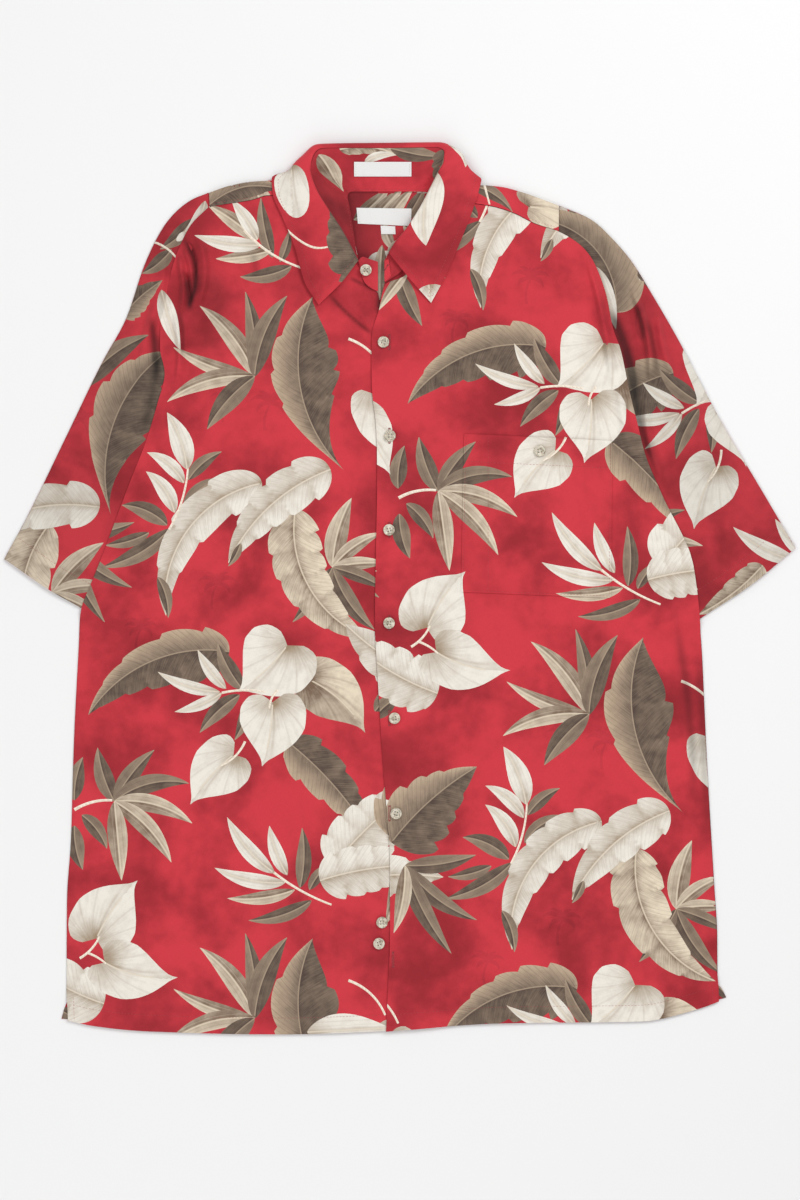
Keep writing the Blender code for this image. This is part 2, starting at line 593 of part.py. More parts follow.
def build_fall(cloth):
    """The collar's fall: from the band's top over the roll line and out to its edge."""
    base, fold, out, edge = collar_sections()
    down, under = roll_direction(base, fold, out, edge)
    start = fold + down * ROLL_START
    ground = out + (edge - out) * np.array((0.14, 0.14, 0.95))
    middle = (out + edge) / 2 - (0, 0, 0.4)
    turn = under * ground + (1 - under) * middle
    grid = []
    for k in range(len(fold)):
        outside = along((fold[k], out[k], turn[k], edge[k]), COLLAR_SHARES)
        grid.append(np.concatenate([[start[k]], outside]))
    wall("collar_fall", np.array(grid), COLLAR_WALL, cloth)


def build_stand(cloth):
    """The collar's band, with its flat front ends."""
    base, fold, out, edge = collar_sections()
    down, _ = roll_direction(base, fold, out, edge)
    top = fold + down * STAND_TOP
    bend = top + down * STAND_BEND * np.linalg.norm(top - base, axis=1, keepdims=True)
    bend[:, 2] = np.maximum(bend[:, 2], base[:, 2] + 0.5)
    ends_right, ends_left = np.array(BAND_END_RIGHT), np.array(BAND_END_LEFT[::-1])
    base = np.concatenate([ends_right[:, :3], base, ends_left[:, :3]])
    top = np.concatenate([ends_right[:, 3:], top, ends_left[:, 3:]])
    middles = [(ends[:, :3] + ends[:, 3:]) / 2 for ends in (ends_right, ends_left)]
    bend = np.concatenate([middles[0], bend, middles[1]])
    t = np.linspace(0, 1, STAND_ROWS)[None, :, None]
    centre = (1 - t) ** 2 * base[:, None] + 2 * t * (1 - t) * bend[:, None] + t**2 * top[:, None]
    wall("collar_stand", centre, BAND_WALL, cloth)
    return centre


def height_at(centre, x, y):
    """Height of a panel's middle at a plan point, read between its four nearest points."""
    plan = centre[..., :2].reshape(-1, 2)
    distance = np.linalg.norm(plan - (x, y), axis=1)
    closest = np.argsort(distance)[:4]
    weight = 1 / np.maximum(distance[closest], 1e-3) ** 2
    return float((centre[..., 2].reshape(-1)[closest] * weight).sum() / weight.sum())


def quad(corners, columns, rows):
    """Plan points of a four-sided piece, whose corners run from the lower left one round."""
    low_left, low_right, high_right, high_left = np.array(corners)
    u = np.linspace(0, 1, columns)[None, :, None]
    v = np.linspace(0, 1, rows)[:, None, None]
    low = (1 - u) * low_left + u * low_right
    high = (1 - u) * high_left + u * high_right
    return (1 - v) * low + v * high


def lay_on(name, plan, carrier, lift, thickness, surface):
    """A piece that lies on another one, from that one's own heights moved out by `lift`."""
    height = np.array([[height_at(carrier, *point) for point in row] for row in plan])
    centre = with_height(plan, height + lift)
    wall(name, centre, thickness, surface)
    return centre


def lathe(profile, sides):
    """Points and faces of a round solid from (radius, height) pairs that start and end on its axis."""
    points = [(0.0, 0.0, profile[0][1])]
    for radius, height in profile[1:-1]:
        for k in range(sides):
            a = 2 * math.pi * k / sides
            points.append((radius * math.cos(a), radius * math.sin(a), height))
    points.append((0.0, 0.0, profile[-1][1]))
    faces = []
    rings = len(profile) - 2
    for k in range(sides):
        after = (k + 1) % sides
        faces.append((0, 1 + k, 1 + after))
        for r in range(rings - 1):
            a, b = 1 + r * sides, 1 + (r + 1) * sides
            faces.append((a + k, b + k, b + after, a + after))
        last = 1 + (rings - 1) * sides
        faces.append((last + k, len(points) - 1, last + after))
    return points, faces


def build_buttons(shell, carriers):
    """Four-hole buttons with a raised rim, each lying on the highest cloth under it."""
    radius, thick, dish = BUTTON_RADIUS, BUTTON_THICK, BUTTON_DISH
    profile = (
        # radius, height: underside, outer wall, rim, then the dish in the middle
        (0, 0), (radius - 1.2, 0), (radius, 0.9), (radius, thick - 0.5), (radius - 0.6, thick),
        (radius - 1.5, thick), (radius - 2.2, thick - dish), (0, thick - dish),
    )
    disc = add_object("disc", *lathe(profile, BUTTON_SIDES), shell)
    hole = ((0, -1), (BUTTON_HOLE, -1), (BUTTON_HOLE, thick + 1), (0, thick + 1))
    pins, pin_faces = [], []
    for x in (-BUTTON_PITCH, BUTTON_PITCH):
        for y in (-BUTTON_PITCH, BUTTON_PITCH):
            points, faces = lathe(hole, BUTTON_HOLE_SIDES)
            pin_faces += [tuple(len(pins) + k for k in face) for face in faces]
            pins += [(x + px, y + py, pz) for px, py, pz in points]
    drill = add_object("drill", pins, pin_faces, shell)
    cut = disc.modifiers.new("thread_holes", "BOOLEAN")
    cut.operation = "DIFFERENCE"
    cut.object = drill
    bpy.context.view_layer.update()
    blank = bpy.data.meshes.new_from_object(disc.evaluated_get(bpy.context.evaluated_depsgraph_get()))
    bpy.data.objects.remove(disc)
    bpy.data.objects.remove(drill)
    spread = (-radius, 0, radius)
    for name, (x, y, carrier) in BUTTONS.items():
        cloth = max(height_at(carriers[carrier], x + dx, y + dy) for dx in spread for dy in spread)
        made = bpy.data.objects.new(name, blank)
        made.location = (x * METRES, y * METRES, (cloth + BAND_WALL / 2 + SEAM) * METRES)
        bpy.context.scene.collection.objects.link(made)


def main():
    for old in list(bpy.data.objects):
        bpy.data.objects.remove(old)
    cloth = material("red_print_rayon", RED_CLOTH, 0.75)
    horn = material("moulded_horn_grey_button", HORN, 0.35)
    white = material("woven_white_tape", WHITE_TAPE, 0.7)

    right = front_panel(FRONT_RIGHT_ROWS, HEM_RIGHT, YOKE_SEAM_RIGHT, FOLDS_RIGHT, over=False)
    left = front_panel(FRONT_LEFT_ROWS, HEM_LEFT, YOKE_SEAM_LEFT[::-1], FOLDS_LEFT, over=True)
    wall("front_right", right, CLOTH, cloth)
    wall("front_left", left[:, ::-1], CLOTH, cloth)

    hole_right = armhole(ARMHOLE_RIGHT, ARMHOLE_RIGHT.index(YOKE_END_RIGHT))
    hole_left = armhole(ARMHOLE_LEFT, ARMHOLE_LEFT.index(YOKE_END_LEFT))
    build_back(cloth, hole_right[0], hole_left[0])
    yoke = build_yoke(cloth, hole_right[0], hole_left[0])
    fold, cuff = SLEEVE_FOLD_RIGHT, CUFF_RIGHT
    build_sleeve("sleeve_right", cloth, hole_right, fold, cuff, FOLDS_SLEEVE_RIGHT)
    fold, cuff = SLEEVE_FOLD_LEFT, CUFF_LEFT
    build_sleeve("sleeve_left", cloth, hole_left, fold, cuff, FOLDS_SLEEVE_LEFT)

    stand = build_stand(cloth)
    build_fall(cloth)
    pocket_plan = quad(POCKET, POCKET_COLUMNS, POCKET_COLUMNS)
    pocket = lay_on("pocket", pocket_plan, left, PANEL_ON_PANEL, CLOTH, cloth)
    carriers = {"front_right": right, "front_left": left, "collar_stand": stand, "pocket": pocket}
    build_buttons(horn, carriers)

    on_yoke = (CLOTH + LABEL_WALL) / 2 + SEAM
    lay_on("label_neck", quad(LABEL_NECK, 3, 3), yoke, on_yoke, LABEL_WALL, white)
    lay_on("label_size", quad(LABEL_SIZE, 3, 3), yoke, on_yoke, LABEL_WALL, white)
    on_band = (BAND_WALL + LABEL_WALL) / 2 + SEAM + BAND_SLACK
    lay_on("label_care", quad(LABEL_CARE, 3, 3), stand, on_band, LABEL_WALL, white)


main()
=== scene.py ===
"""A red leaf-print shirt with short sleeves, laid flat on its back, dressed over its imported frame.

X runs across the shirt, Y from the hem to the collar, Z up from the surface it lies on. Right
and left are the wearer's. Sizes are in millimetres and turn to metres where a mesh is made.
"""

import logging
import math
from dataclasses import dataclass, field, replace
from enum import Enum
from functools import partial
from typing import Callable, Iterable, Sequence

import bpy
import numpy as np
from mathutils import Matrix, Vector
from mathutils.geometry import delaunay_2d_cdt


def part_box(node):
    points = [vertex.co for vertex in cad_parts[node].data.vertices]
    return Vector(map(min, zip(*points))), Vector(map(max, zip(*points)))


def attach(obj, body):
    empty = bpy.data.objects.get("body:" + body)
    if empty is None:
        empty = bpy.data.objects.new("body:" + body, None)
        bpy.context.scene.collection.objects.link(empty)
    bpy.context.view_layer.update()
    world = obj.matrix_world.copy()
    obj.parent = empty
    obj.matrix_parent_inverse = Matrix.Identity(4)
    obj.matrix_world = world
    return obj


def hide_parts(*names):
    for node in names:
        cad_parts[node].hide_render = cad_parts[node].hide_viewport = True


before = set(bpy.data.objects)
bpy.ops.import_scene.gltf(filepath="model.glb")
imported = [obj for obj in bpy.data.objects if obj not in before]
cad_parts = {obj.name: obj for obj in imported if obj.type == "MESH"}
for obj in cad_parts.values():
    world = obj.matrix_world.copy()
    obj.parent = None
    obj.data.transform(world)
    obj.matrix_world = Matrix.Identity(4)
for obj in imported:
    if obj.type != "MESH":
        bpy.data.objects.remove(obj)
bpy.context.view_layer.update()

log = logging.getLogger("shirt")

MM = 0.001
Plan = tuple[float, float]
Curve = Sequence[Plan]
Array = np.ndarray
AddNode = Callable[..., bpy.types.Node]

# ---------------------------------------------------------------- driving sizes, as in the solids

CLOTH = 0.6
FLOOR_LAYER = 0.36
SLEEVE_TOP = 1.9
FRONT_REST = 1.9
FRONT_OVER_SLEEVE = 3.3
FRONT_OVER_FRONT = 3.5
SHOULDER_TOP = 3.2
PANEL_ON_PANEL = 1.2
LIFT_AT_ARMHOLE = (22.0, 45.0)
LIFT_AT_SEAM = (4.0, 40.0)
LIFT_AT_NECK = (14.0, 40.0)
LIFT_AT_OVERLAP = (36.0, 34.0)
SEAM = 0.3
ROLL = 3.0
BACK_INSET = 2.4
SLEEVE_CLEAR = (25.0, 30.0)
SLEEVE_PUFF = 1.2
BELOW_ARMPIT = 13.0
RISE_OVER = 12.0
ROLLED_DOWN_TO = 0.35
ROLL_ROWS = (0.12, 0.45, 1.0, 1.8, 2.7, 3.6)
PAST_STITCH = 1.5
STITCH_LINE_PITCH = 1.5

# Body outline, a row for each section from the hem up: the side, then the free edge or neckline.
FRONT_RIGHT_ROWS = (
    # side_x, side_y, edge_x, edge_y
    (-315.4, -409.9, 4.8, -419.4),
    (-316.3, -390.9, 4.8, -398.5),
    (-316.8, -376.7, 4.3, -381.4),
    (-316.3, -295.9, 3.8, -295.9),
    (-312.6, -238.9, 2.8, -234.2),
    (-309.7, -143.9, 1.9, -143.9),
    (-304.9, -48.9, 1.9, -48.9),
    (-304.3, -31.8, 1.9, -31.8),
    (-302.8, -19.5, 1.9, -17.6),
    (-285.5, 24.2, 1.9, 27.1),
    (-256.5, 101.2, 1.9, 101.2),
    (-242.2, 137.3, 1.9, 137.3),
    (-230.8, 174.3, 1.9, 179.1),
    (-223.5, 204.0, -2.8, 224.7),
    (-228.0, 228.0, -8.0, 243.0),
    (-228.0, 252.0, -18.1, 264.5),
    (-220.4, 289.3, -20.9, 280.7),
    (-214.7, 310.2, -34.2, 290.2),
    (-209.0, 325.4, -39.9, 314.0),
    (-198.5, 345.3, -44.6, 338.7),
    (-181.4, 362.4, -48.6, 364.5),
)
FRONT_LEFT_ROWS = (
    (303.1, -391.9, -13.3, -420.4), (302.6, -376.7, -12.3, -400.4), (301.6, -362.4, -11.4, -376.7),
    (301.4, -329.2, -9.5, -331.1), (298.3, -276.9, -9.5, -260.8), (291.6, -162.9, -16.1, -167.7),
    (287.0, -62.4, -22.4, -64.1), (285.6, -42.0, -23.8, -40.0), (285.0, -29.4, -23.8, -20.4),
    (278.3, 24.2, -22.8, 36.6), (249.4, 87.9, -21.8, 93.6), (232.8, 127.8, -21.8, 126.8),
    (225.7, 156.3, -22.8, 155.3), (217.5, 189.5, -26.6, 188.6), (209.9, 225.6, -27.1, 217.1),
    (202.3, 247.5, -26.6, 240.8), (195.7, 279.8, -19.9, 264.6), (182.4, 313.0, -14.2, 288.3),
    (171.9, 325.4, 5.0, 297.0), (161.5, 333.0, 22.8, 334.5), (149.2, 339.6, 31.0, 364.3))
VENT_ROW = 1
ARMPIT_ROW = 8
NECK_START_Y = 270.5
HEM_RIGHT = ((-315.4, -409.9), (-294.5, -414.7), (-237.5, -420.4), (-114.0, -423.2), (4.8, -419.4))
HEM_LEFT = ((303.1, -391.9), (285.0, -398.5), (228.0, -410.9), (95.0, -412.8), (-13.3, -420.4))
SHOULDER_RIGHT = (
    (-181.4, 375.7), (-161.5, 382.4), (-140.6, 386.2), (-121.6, 387.2), (-104.5, 383.3), (-52.8, 379.0))
SHOULDER_LEFT = ((31.3, 379.0), (55.1, 380.5), (77.0, 382.8), (95.0, 381.4), (114.0, 376.7), (151.0, 363.4))
YOKE_SEAM_RIGHT = (
    (-179.2, 363.8), (-163.4, 366.2), (-140.6, 370.0), (-125.4, 374.3), (-95.0, 373.0), (-52.8, 366.5))
YOKE_SEAM_LEFT = ((31.3, 366.0), (57.0, 367.5), (85.5, 364.3), (105.4, 358.6), (129.2, 347.2), (149.2, 341.0))
YOKE_SEAM_BACK = 274.0
BACK_VENT_RIGHT = ((-321.5, -408.5), (-318.3, -397.0), (-314.6, -389.5))
BACK_VENT_LEFT = ((309.8, -388.5), (305.8, -380.0), (300.2, -374.5))
BACK_HEM = (
    (-321.5, -408.5), (-237.5, -417.4), (-114.0, -420.2), (95.0, -409.8), (228.0, -407.9), (309.8, -388.5))
BACK_TOP_ROW = 7
UNDERARM_RIGHT = (-301.6, -20.4)
UNDERARM_LEFT = (284.0, -30.6)
YOKE_END_RIGHT = (-208.0, 274.0)
YOKE_END_LEFT = (182.6, 274.0)
ARMHOLE_RIGHT = (
    (-181.4, 375.7), (-179.6, 363.4), (-188.1, 344.4), (-196.6, 323.5), (-202.3, 304.5), (-208.0, 274.0),
    (-214.5, 248.0), (-214.2, 224.7), (-212.0, 203.0), (-218.5, 174.3), (-229.9, 137.3), (-244.1, 101.2),
    (-259.3, 66.0), (-269.8, 27.1), (-275.5, -3.3))
ARMHOLE_LEFT = (
    (151.0, 363.4), (150.2, 343.5), (161.5, 323.5), (175.8, 297.8), (182.6, 274.0), (189.0, 245.6),
    (196.6, 223.7), (204.2, 189.5), (212.8, 156.3), (220.4, 127.8), (236.5, 87.9), (252.8, 55.6),
    (264.0, 24.2), (268.0, -14.0))
SLEEVE_FOLD_RIGHT = (
    (-375.5, 28.0), (-355.3, 65.1), (-318.2, 141.1), (-281.2, 217.1), (-260.3, 255.1), (-240.3, 312.1),
    (-219.4, 350.1), (-197.6, 369.1), (-181.4, 375.7))
SLEEVE_FOLD_LEFT = (
    (375.4, 38.5), (348.6, 84.1), (304.0, 160.1), (264.1, 236.1), (242.2, 274.1), (218.5, 312.1),
    (202.3, 331.1), (181.4, 350.1), (151.0, 363.4))
CUFF_RIGHT = ((-375.5, 28.0), (-328.2, -4.3), (-303.1, -18.1))
CUFF_LEFT = ((375.4, 38.5), (334.4, 4.3), (285.7, -28.0))

# Collar sections from the point of the right leaf round the back to the left one.
COLLAR_ROWS = (
    # base x, y, z, fold x, y, z, out x, y, z, edge x, y, z
    (-37.0, 300.7, 4.9, -40.4, 309.7, 9.5, -56.0, 289.3, 7.4, -77.0, 268.9, 5.2),
    (-40.8, 315.9, 4.9, -47.5, 323.5, 13.5, -68.4, 310.2, 9.5, -90.2, 290.2, 5.2),
    (-43.7, 334.9, 4.9, -56.0, 338.7, 15.5, -78.9, 330.1, 11.0, -100.2, 325.4, 5.2),
    (-46.1, 352.0, 4.9, -68.4, 357.7, 16.0, -90.2, 352.9, 11.5, -111.6, 352.9, 5.2),
    (-48.4, 364.3, 4.8, -79.8, 376.7, 15.5, -101.6, 372.9, 11.0, -120.6, 374.8, 5.2),
    (-49.9, 371.9, 4.6, -85.0, 390.9, 15.0, -104.5, 388.1, 10.5, -121.6, 389.0, 5.0),
    (-49.0, 376.7, 4.4, -86.5, 400.4, 14.0, -102.6, 398.5, 8.5, -109.3, 393.8, 2.6),
    (-47.5, 379.0, 2.4, -84.6, 409.9, 13.0, -91.2, 411.4, 6.5, -92.2, 389.5, 0.9),
    (-41.8, 379.5, 2.0, -76.0, 418.5, 11.0, -77.9, 420.9, 5.5, -71.3, 386.2, 0.8),
    (-20.9, 379.5, 2.0, -20.9, 419.9, 9.0, -20.9, 422.5, 4.5, -20.9, 383.3, 0.8),
    (7.6, 379.5, 2.0, 34.2, 419.9, 11.0, 36.1, 422.7, 5.5, 22.8, 385.7, 0.8),
    (17.1, 379.5, 2.4, 43.7, 414.7, 13.0, 51.8, 417.5, 6.5, 44.6, 388.6, 0.9),
    (24.7, 379.0, 3.8, 42.8, 405.2, 14.0, 60.3, 408.5, 8.5, 65.0, 391.4, 2.6),
    (29.5, 377.1, 4.6, 37.1, 393.8, 15.0, 60.8, 396.6, 10.5, 77.0, 387.6, 5.0),
    (31.3, 371.0, 4.8, 29.5, 378.6, 15.5, 52.3, 376.7, 11.0, 73.2, 371.9, 5.2),
    (28.5, 355.8, 4.9, 19.0, 358.6, 16.0, 41.8, 352.0, 11.5, 65.6, 350.1, 5.2),
    (20.0, 333.9, 4.9, 6.7, 339.6, 15.5, 28.5, 330.1, 11.0, 56.1, 326.3, 5.2),
    (9.5, 314.0, 4.9, -3.8, 327.3, 13.5, 18.1, 313.0, 9.5, 42.8, 295.9, 5.2),
    (0.0, 299.7, 4.9, -10.0, 317.3, 9.5, 9.5, 293.1, 7.4, 29.5, 270.8, 5.2),
)
BAND_END_RIGHT = (
    # base x, y, z, top x, y, z
    (-20.9, 281.7, 5.0, -20.9, 309.7, 5.4),
    (-28.5, 285.5, 5.0, -29.5, 312.5, 6.2),
    (-34.2, 291.2, 5.0, -35.6, 314.4, 7.6),
)
BAND_END_LEFT = ((-8.6, 296.4, 5.0, -10.9, 312.1, 7.2), (-15.2, 289.8, 5.0, -15.2, 310.2, 5.6))
ROLL_START = 2.6
STAND_TOP = 3.0
STAND_BEND = 0.45
NECK_LABEL = ((-40.0, 346.5), (10.6, 344.2), (10.9, 360.8), (-41.3, 361.5))
SIZE_TAB = ((-17.8, 336.6), (-4.2, 336.4), (-4.6, 343.9), (-18.4, 344.6))
BAND_LABEL = ((-43.5, 390.6), (10.8, 390.6), (10.8, 404.0), (-43.5, 404.0))
POCKET = ((57.9, -3.3), (200.4, -9.0), (201.4, 140.1), (60.8, 146.8))


# ---------------------------------------------------------------- curves and small helpers

def unit(vectors: Array) -> Array:
    """The vectors at length one."""
    return vectors / np.maximum(np.linalg.norm(vectors, axis=-1, keepdims=True), 1e-9)


def eased(t: Array | float) -> Array:
    """0 to 1 with flat ends, as t goes from 0 to 1."""
    t = np.clip(t, 0.0, 1.0)
    return t * t * (3 - 2 * t)


def near(distance: Array, full: float, fade: float) -> Array:
    """1 up to `full` away, falling to 0 over the next `fade`."""
    return 1 - eased((distance - full) / fade)


def smooth(keys: Sequence[float], values: Sequence[float], at: Array) -> Array:
    """Reads a curve that passes through its points and never overshoots them.

    Args:
        keys: Places of the points, rising.
        values: The curve's value at each of them.
        at: Where to read it.

    Returns:
        The values at `at`.
    """
    keys, values, at = (np.asarray(a, float) for a in (keys, values, at))
    step = np.diff(keys)
    slope = np.diff(values) / step
    tangent = np.zeros(len(keys))
    tangent[0], tangent[-1] = slope[0], slope[-1]
    before, after = slope[:-1], slope[1:]
    turns = before * after > 0
    weight_a, weight_b = 2 * step[1:] + step[:-1], step[1:] + 2 * step[:-1]
    mean = (weight_a + weight_b)[turns] / (weight_a[turns] / before[turns] + weight_b[turns] / after[turns])
    tangent[1:-1][turns] = mean
    i = np.clip(np.searchsorted(keys, at) - 1, 0, len(step) - 1)
    t = (at - keys[i]) / step[i]
    return (
        (2 * t**3 - 3 * t**2 + 1) * values[i]
        + (t**3 - 2 * t**2 + t) * step[i] * tangent[i]
        + (3 * t**2 - 2 * t**3) * values[i + 1]
        + (t**3 - t**2) * step[i] * tangent[i + 1]
    )


def run_of(points: Array) -> Array:
    """Length along a line of points up to each of them."""
    return np.concatenate([[0.0], np.cumsum(np.linalg.norm(np.diff(points, axis=0), axis=1))])


def read_at(line: Array, run: Array, at: Array) -> Array:
    """Points of a line whose lengths are `run`, read at the lengths `at`."""
    return np.stack([np.interp(at, run, column) for column in line.T], axis=-1)


def evenly(line: Array, count: int) -> Array:
    """The line again, with that many points at equal steps."""
    run = run_of(line)
    return read_at(line, run, np.linspace(0, run[-1], count))


def spaced(line: Array, pitch: float) -> Array:
    """The line again, with points about `pitch` apart."""
    return evenly(line, max(2, int(round(run_of(line)[-1] / pitch)) + 1))


def along(points: Curve, shares: Array | int) -> Array:
    """Points at the given shares, or that many even ones, of a smooth curve through `points`."""
    points = np.asarray(points, float)
    shares = np.linspace(0, 1, shares) if isinstance(shares, int) else np.asarray(shares)
    run = run_of(points)
    return np.stack([smooth(run, column, shares * run[-1]) for column in points.T], axis=-1)


def rows_of(table: Sequence[Sequence[float]], places: Array) -> Array:
    """The table's rows, read smoothly at fractional row numbers."""
    table = np.asarray(table, float)
    numbers = np.arange(len(table))
    return np.stack([smooth(numbers, column, places) for column in table.T], axis=-1)


def bow(points: Array) -> Array:
    """How far each point lies from the straight line between the first and the last."""
    t = (run_of(points) / run_of(points)[-1])[:, None]
    return points - ((1 - t) * points[0] + t * points[-1])


def at_height(plan: Array, height: Array | float) -> Array:
    """Plan points with their heights."""
    return np.column_stack([plan, np.broadcast_to(height, len(plan))])


def set_in(distances: Sequence[Array], reaches: Sequence[float]) -> Array:
    """0 at a piece's edges and 1 well inside, over a reach of its own from each edge."""
    return math.prod(eased(distance / reach) for distance, reach in zip(distances, reaches))


def from_line(plan: Array, line: Array) -> tuple[Array, Array]:
    """Distance of each plan point from a line of points, and the nearest place on that line."""
    best = np.full(len(plan), np.inf)
    place = np.zeros((len(plan), 2))
    for start, end in zip(line[:-1], line[1:]):
        step = end - start
        t = np.clip((plan - start) @ step / max(step @ step, 1e-12), 0, 1)
        at = start + t[:, None] * step
        distance = np.linalg.norm(plan - at, axis=1)
        closer = distance < best
        best[closer] = distance[closer]
        place[closer] = at[closer]
    return best, place


def inside(plan: Array, loop: Array) -> Array:
    """Whether each plan point lies within a closed loop."""
    x, y = plan[:, 0], plan[:, 1]
    odd = np.zeros(len(plan), bool)
    for (x0, y0), (x1, y1) in zip(loop, np.roll(loop, -1, axis=0)):
        crosses = (y0 > y) != (y1 > y)
        odd ^= crosses & (x < (x1 - x0) * (y - y0) / (y1 - y0 + 1e-12) + x0)
    return odd


def area_of(loop: Array) -> float:
    """Area in a closed loop, above zero where it runs anticlockwise."""
    after = np.roll(loop, -1, axis=0)
    return float((loop[:, 0] * after[:, 1] - after[:, 0] * loop[:, 1]).sum() / 2)


def anticlockwise(loop: Array) -> Array:
    """The loop, run anticlockwise."""
    return loop if area_of(loop) > 0 else loop[::-1]


def loop_of(parts: Iterable[Array], pitch: float = 3.0) -> Array:
    """A closed loop, anticlockwise, from lines that meet end to end."""
    return anticlockwise(np.concatenate([spaced(part, pitch)[:-1] for part in parts]))


# ---------------------------------------------------------------- node and colour helpers

def linear(code: str) -> tuple[float, float, float, float]:
    """Linear colour of an sRGB hex code."""
    parts = [int(code[i:i + 2], 16) / 255 for i in (1, 3, 5)]
    red, green, blue = (c / 12.92 if c <= 0.04045 else ((c + 0.055) / 1.055) ** 2.4 for c in parts)
    return red, green, blue, 1.0


def add_node(tree: bpy.types.NodeTree, kind: str, inputs: dict | None = None, **settings) -> bpy.types.Node:
    """Adds a node with its settings, values and links.

    Args:
        tree: The node tree it goes in.
        kind: The node's type after "ShaderNode", such as "Math".
        inputs: Input name or number to a value, or to the socket or node that feeds it. A node
            feeds it from its first output.
        settings: The node's own properties.

    Returns:
        The new node.
    """
    made = tree.nodes.new("ShaderNode" + kind)
    for name, value in settings.items():
        setattr(made, name, value)
    for key, value in (inputs or {}).items():
        if isinstance(value, bpy.types.Node):
            value = value.outputs[0]
        if isinstance(value, bpy.types.NodeSocket):
            tree.links.new(value, made.inputs[key])
        else:
            made.inputs[key].default_value = value
    return made


def placed(name: str, data: bpy.types.ID) -> bpy.types.Object:
    """A new object in the scene for a mesh, a light or a camera."""
    made = bpy.data.objects.new(name, data)
    bpy.context.scene.collection.objects.link(made)
    return made


def new_mesh(name: str, points: Array, faces: list, *surfaces: bpy.types.Material) -> bpy.types.Mesh:
    """A mesh from points in millimetres, with its materials."""
    made = bpy.data.meshes.new(name)
    made.from_pydata((np.asarray(points) * MM).tolist(), [], faces)
    for surface in surfaces:
        made.materials.append(surface)
    return made


def store(mesh: bpy.types.Mesh, name: str, domain: str, values: Array) -> None:
    """Stores a number, or a row of three, for each point or corner of a mesh."""
    kind, key = ("FLOAT", "value") if values.ndim == 1 else ("FLOAT_VECTOR", "vector")
    mesh.attributes.new(name, kind, domain).data.foreach_set(key, values.ravel())


# ---------------------------------------------------------------- finishes

PLACE = "cloth_place"
LINES = "print_lines"
# Share of a point's colour darkened as painted shade: in folds, inside the neck, under the collar leaf and
# over the sleeves.
PAINTED_SHADE = "cloth_painted_shade"


@dataclass(frozen=True)
class Finish:
    """A material, named for what the real one is and how its surface was made."""

    name: str

    def surface(self, node: AddNode) -> bpy.types.Node:
        """Builds the nodes of the look and returns the last shader."""
        raise NotImplementedError

    def material(self) -> bpy.types.Material:
        """Makes the material."""
        made = bpy.data.materials.new(self.name)
        made.use_nodes = True
        made.node_tree.nodes.clear()
        node = partial(add_node, made.node_tree)
        node("OutputMaterial", {"Surface": self.surface(node)})
        return made


@dataclass(frozen=True)
class Rayon:
    """Plain-woven viscose rayon: soft, matt, with a faint sheen and a slight slub.

    The threads are 0.3 mm apart, too fine to show, so the slub is drawn 1.1 mm wide.
    """

    roughness: float = 0.72
    sheen: float = 0.10
    slub: float = 1.1
    rumple: float = 16.0
    rumple_height: float = 0.30
    slub_height: float = 0.035

    def shade(self, node: AddNode, colour: bpy.types.NodeSocket) -> bpy.types.Node:
        """The woven surface's shader, under the print's colour, darkened by the painted shade stored at each
        point.
        """
        place = node("Attribute", attribute_name=PLACE).outputs["Vector"]
        along_weft = node("Mapping", {"Vector": place, "Scale": (0.3, 2.4, 1)})
        along_warp = node("Mapping", {"Vector": place, "Scale": (2.4, 0.3, 1)})
        scale = 1 / self.slub
        weft = node("TexNoise", {"Vector": along_weft, "Scale": scale, "Detail": 2})
        warp = node("TexNoise", {"Vector": along_warp, "Scale": scale, "Detail": 2})
        slub = node("Math", {0: weft, 1: warp}, operation="ADD")
        soft = node(
            "TexNoise",
            {"Vector": place, "Scale": 1 / self.rumple, "Detail": 3, "Roughness": 0.45, "Distortion": 0.6})
        rumple = node("Bump", {"Height": soft, "Distance": self.rumple_height * MM})
        weave = node("Bump", {"Height": slub, "Distance": self.slub_height * MM, "Normal": rumple})
        fleck = node(
            "MapRange", {"Value": slub, "From Min": 0.6, "From Max": 1.4, "To Min": 0.93, "To Max": 1.06})
        # Painted shade: the colour is darkened by the share stored at each point of the cloth.
        painted_shade = node("Attribute", attribute_name=PAINTED_SHADE).outputs["Fac"]
        left = node("Math", {0: 1.0, 1: painted_shade}, operation="SUBTRACT")
        lit = node("Math", {0: fleck, 1: left}, operation="MULTIPLY")
        tinted = node("Mix", {"Factor": 1.0, 6: colour, 7: lit}, data_type="RGBA", blend_type="MULTIPLY")
        return node(
            "BsdfPrincipled",
            {"Base Color": tinted.outputs[2], "Roughness": self.roughness, "IOR": 1.46,
             "Specular IOR Level": 0.25, "Sheen Weight": self.sheen, "Sheen Roughness": 0.5,
             "Normal": weave},
        )


@dataclass(frozen=True)
class GroundPrint(Finish):
    """Dyed red ground, mottled like sponged ink, which keeps the eye from a flat colour."""

    deep: str
    pale: str
    blotch: float = 70.0
    cloth: Rayon = field(default_factory=Rayon)

    def surface(self, node: AddNode) -> bpy.types.Node:
        """The ground's look."""
        place = node("Attribute", attribute_name=PLACE).outputs["Vector"]
        wide = node(
            "TexNoise",
            {"Vector": place, "Scale": 1 / self.blotch, "Detail": 3, "Roughness": 0.45, "Distortion": 0.4})
        spots = node("TexNoise", {"Vector": place, "Scale": 6 / self.blotch, "Detail": 3})
        both = node("Math", {0: spots, 1: 0.22, 2: wide}, operation="MULTIPLY_ADD")
        factor = node(
            "MapRange", {"Value": both, "From Min": 0.38, "From Max": 0.78},
            interpolation_type="SMOOTHSTEP")
        colour = node(
            "Mix", {"Factor": factor, 6: linear(self.deep), 7: linear(self.pale)}, data_type="RGBA")
        return self.cloth.shade(node, colour.outputs[2])


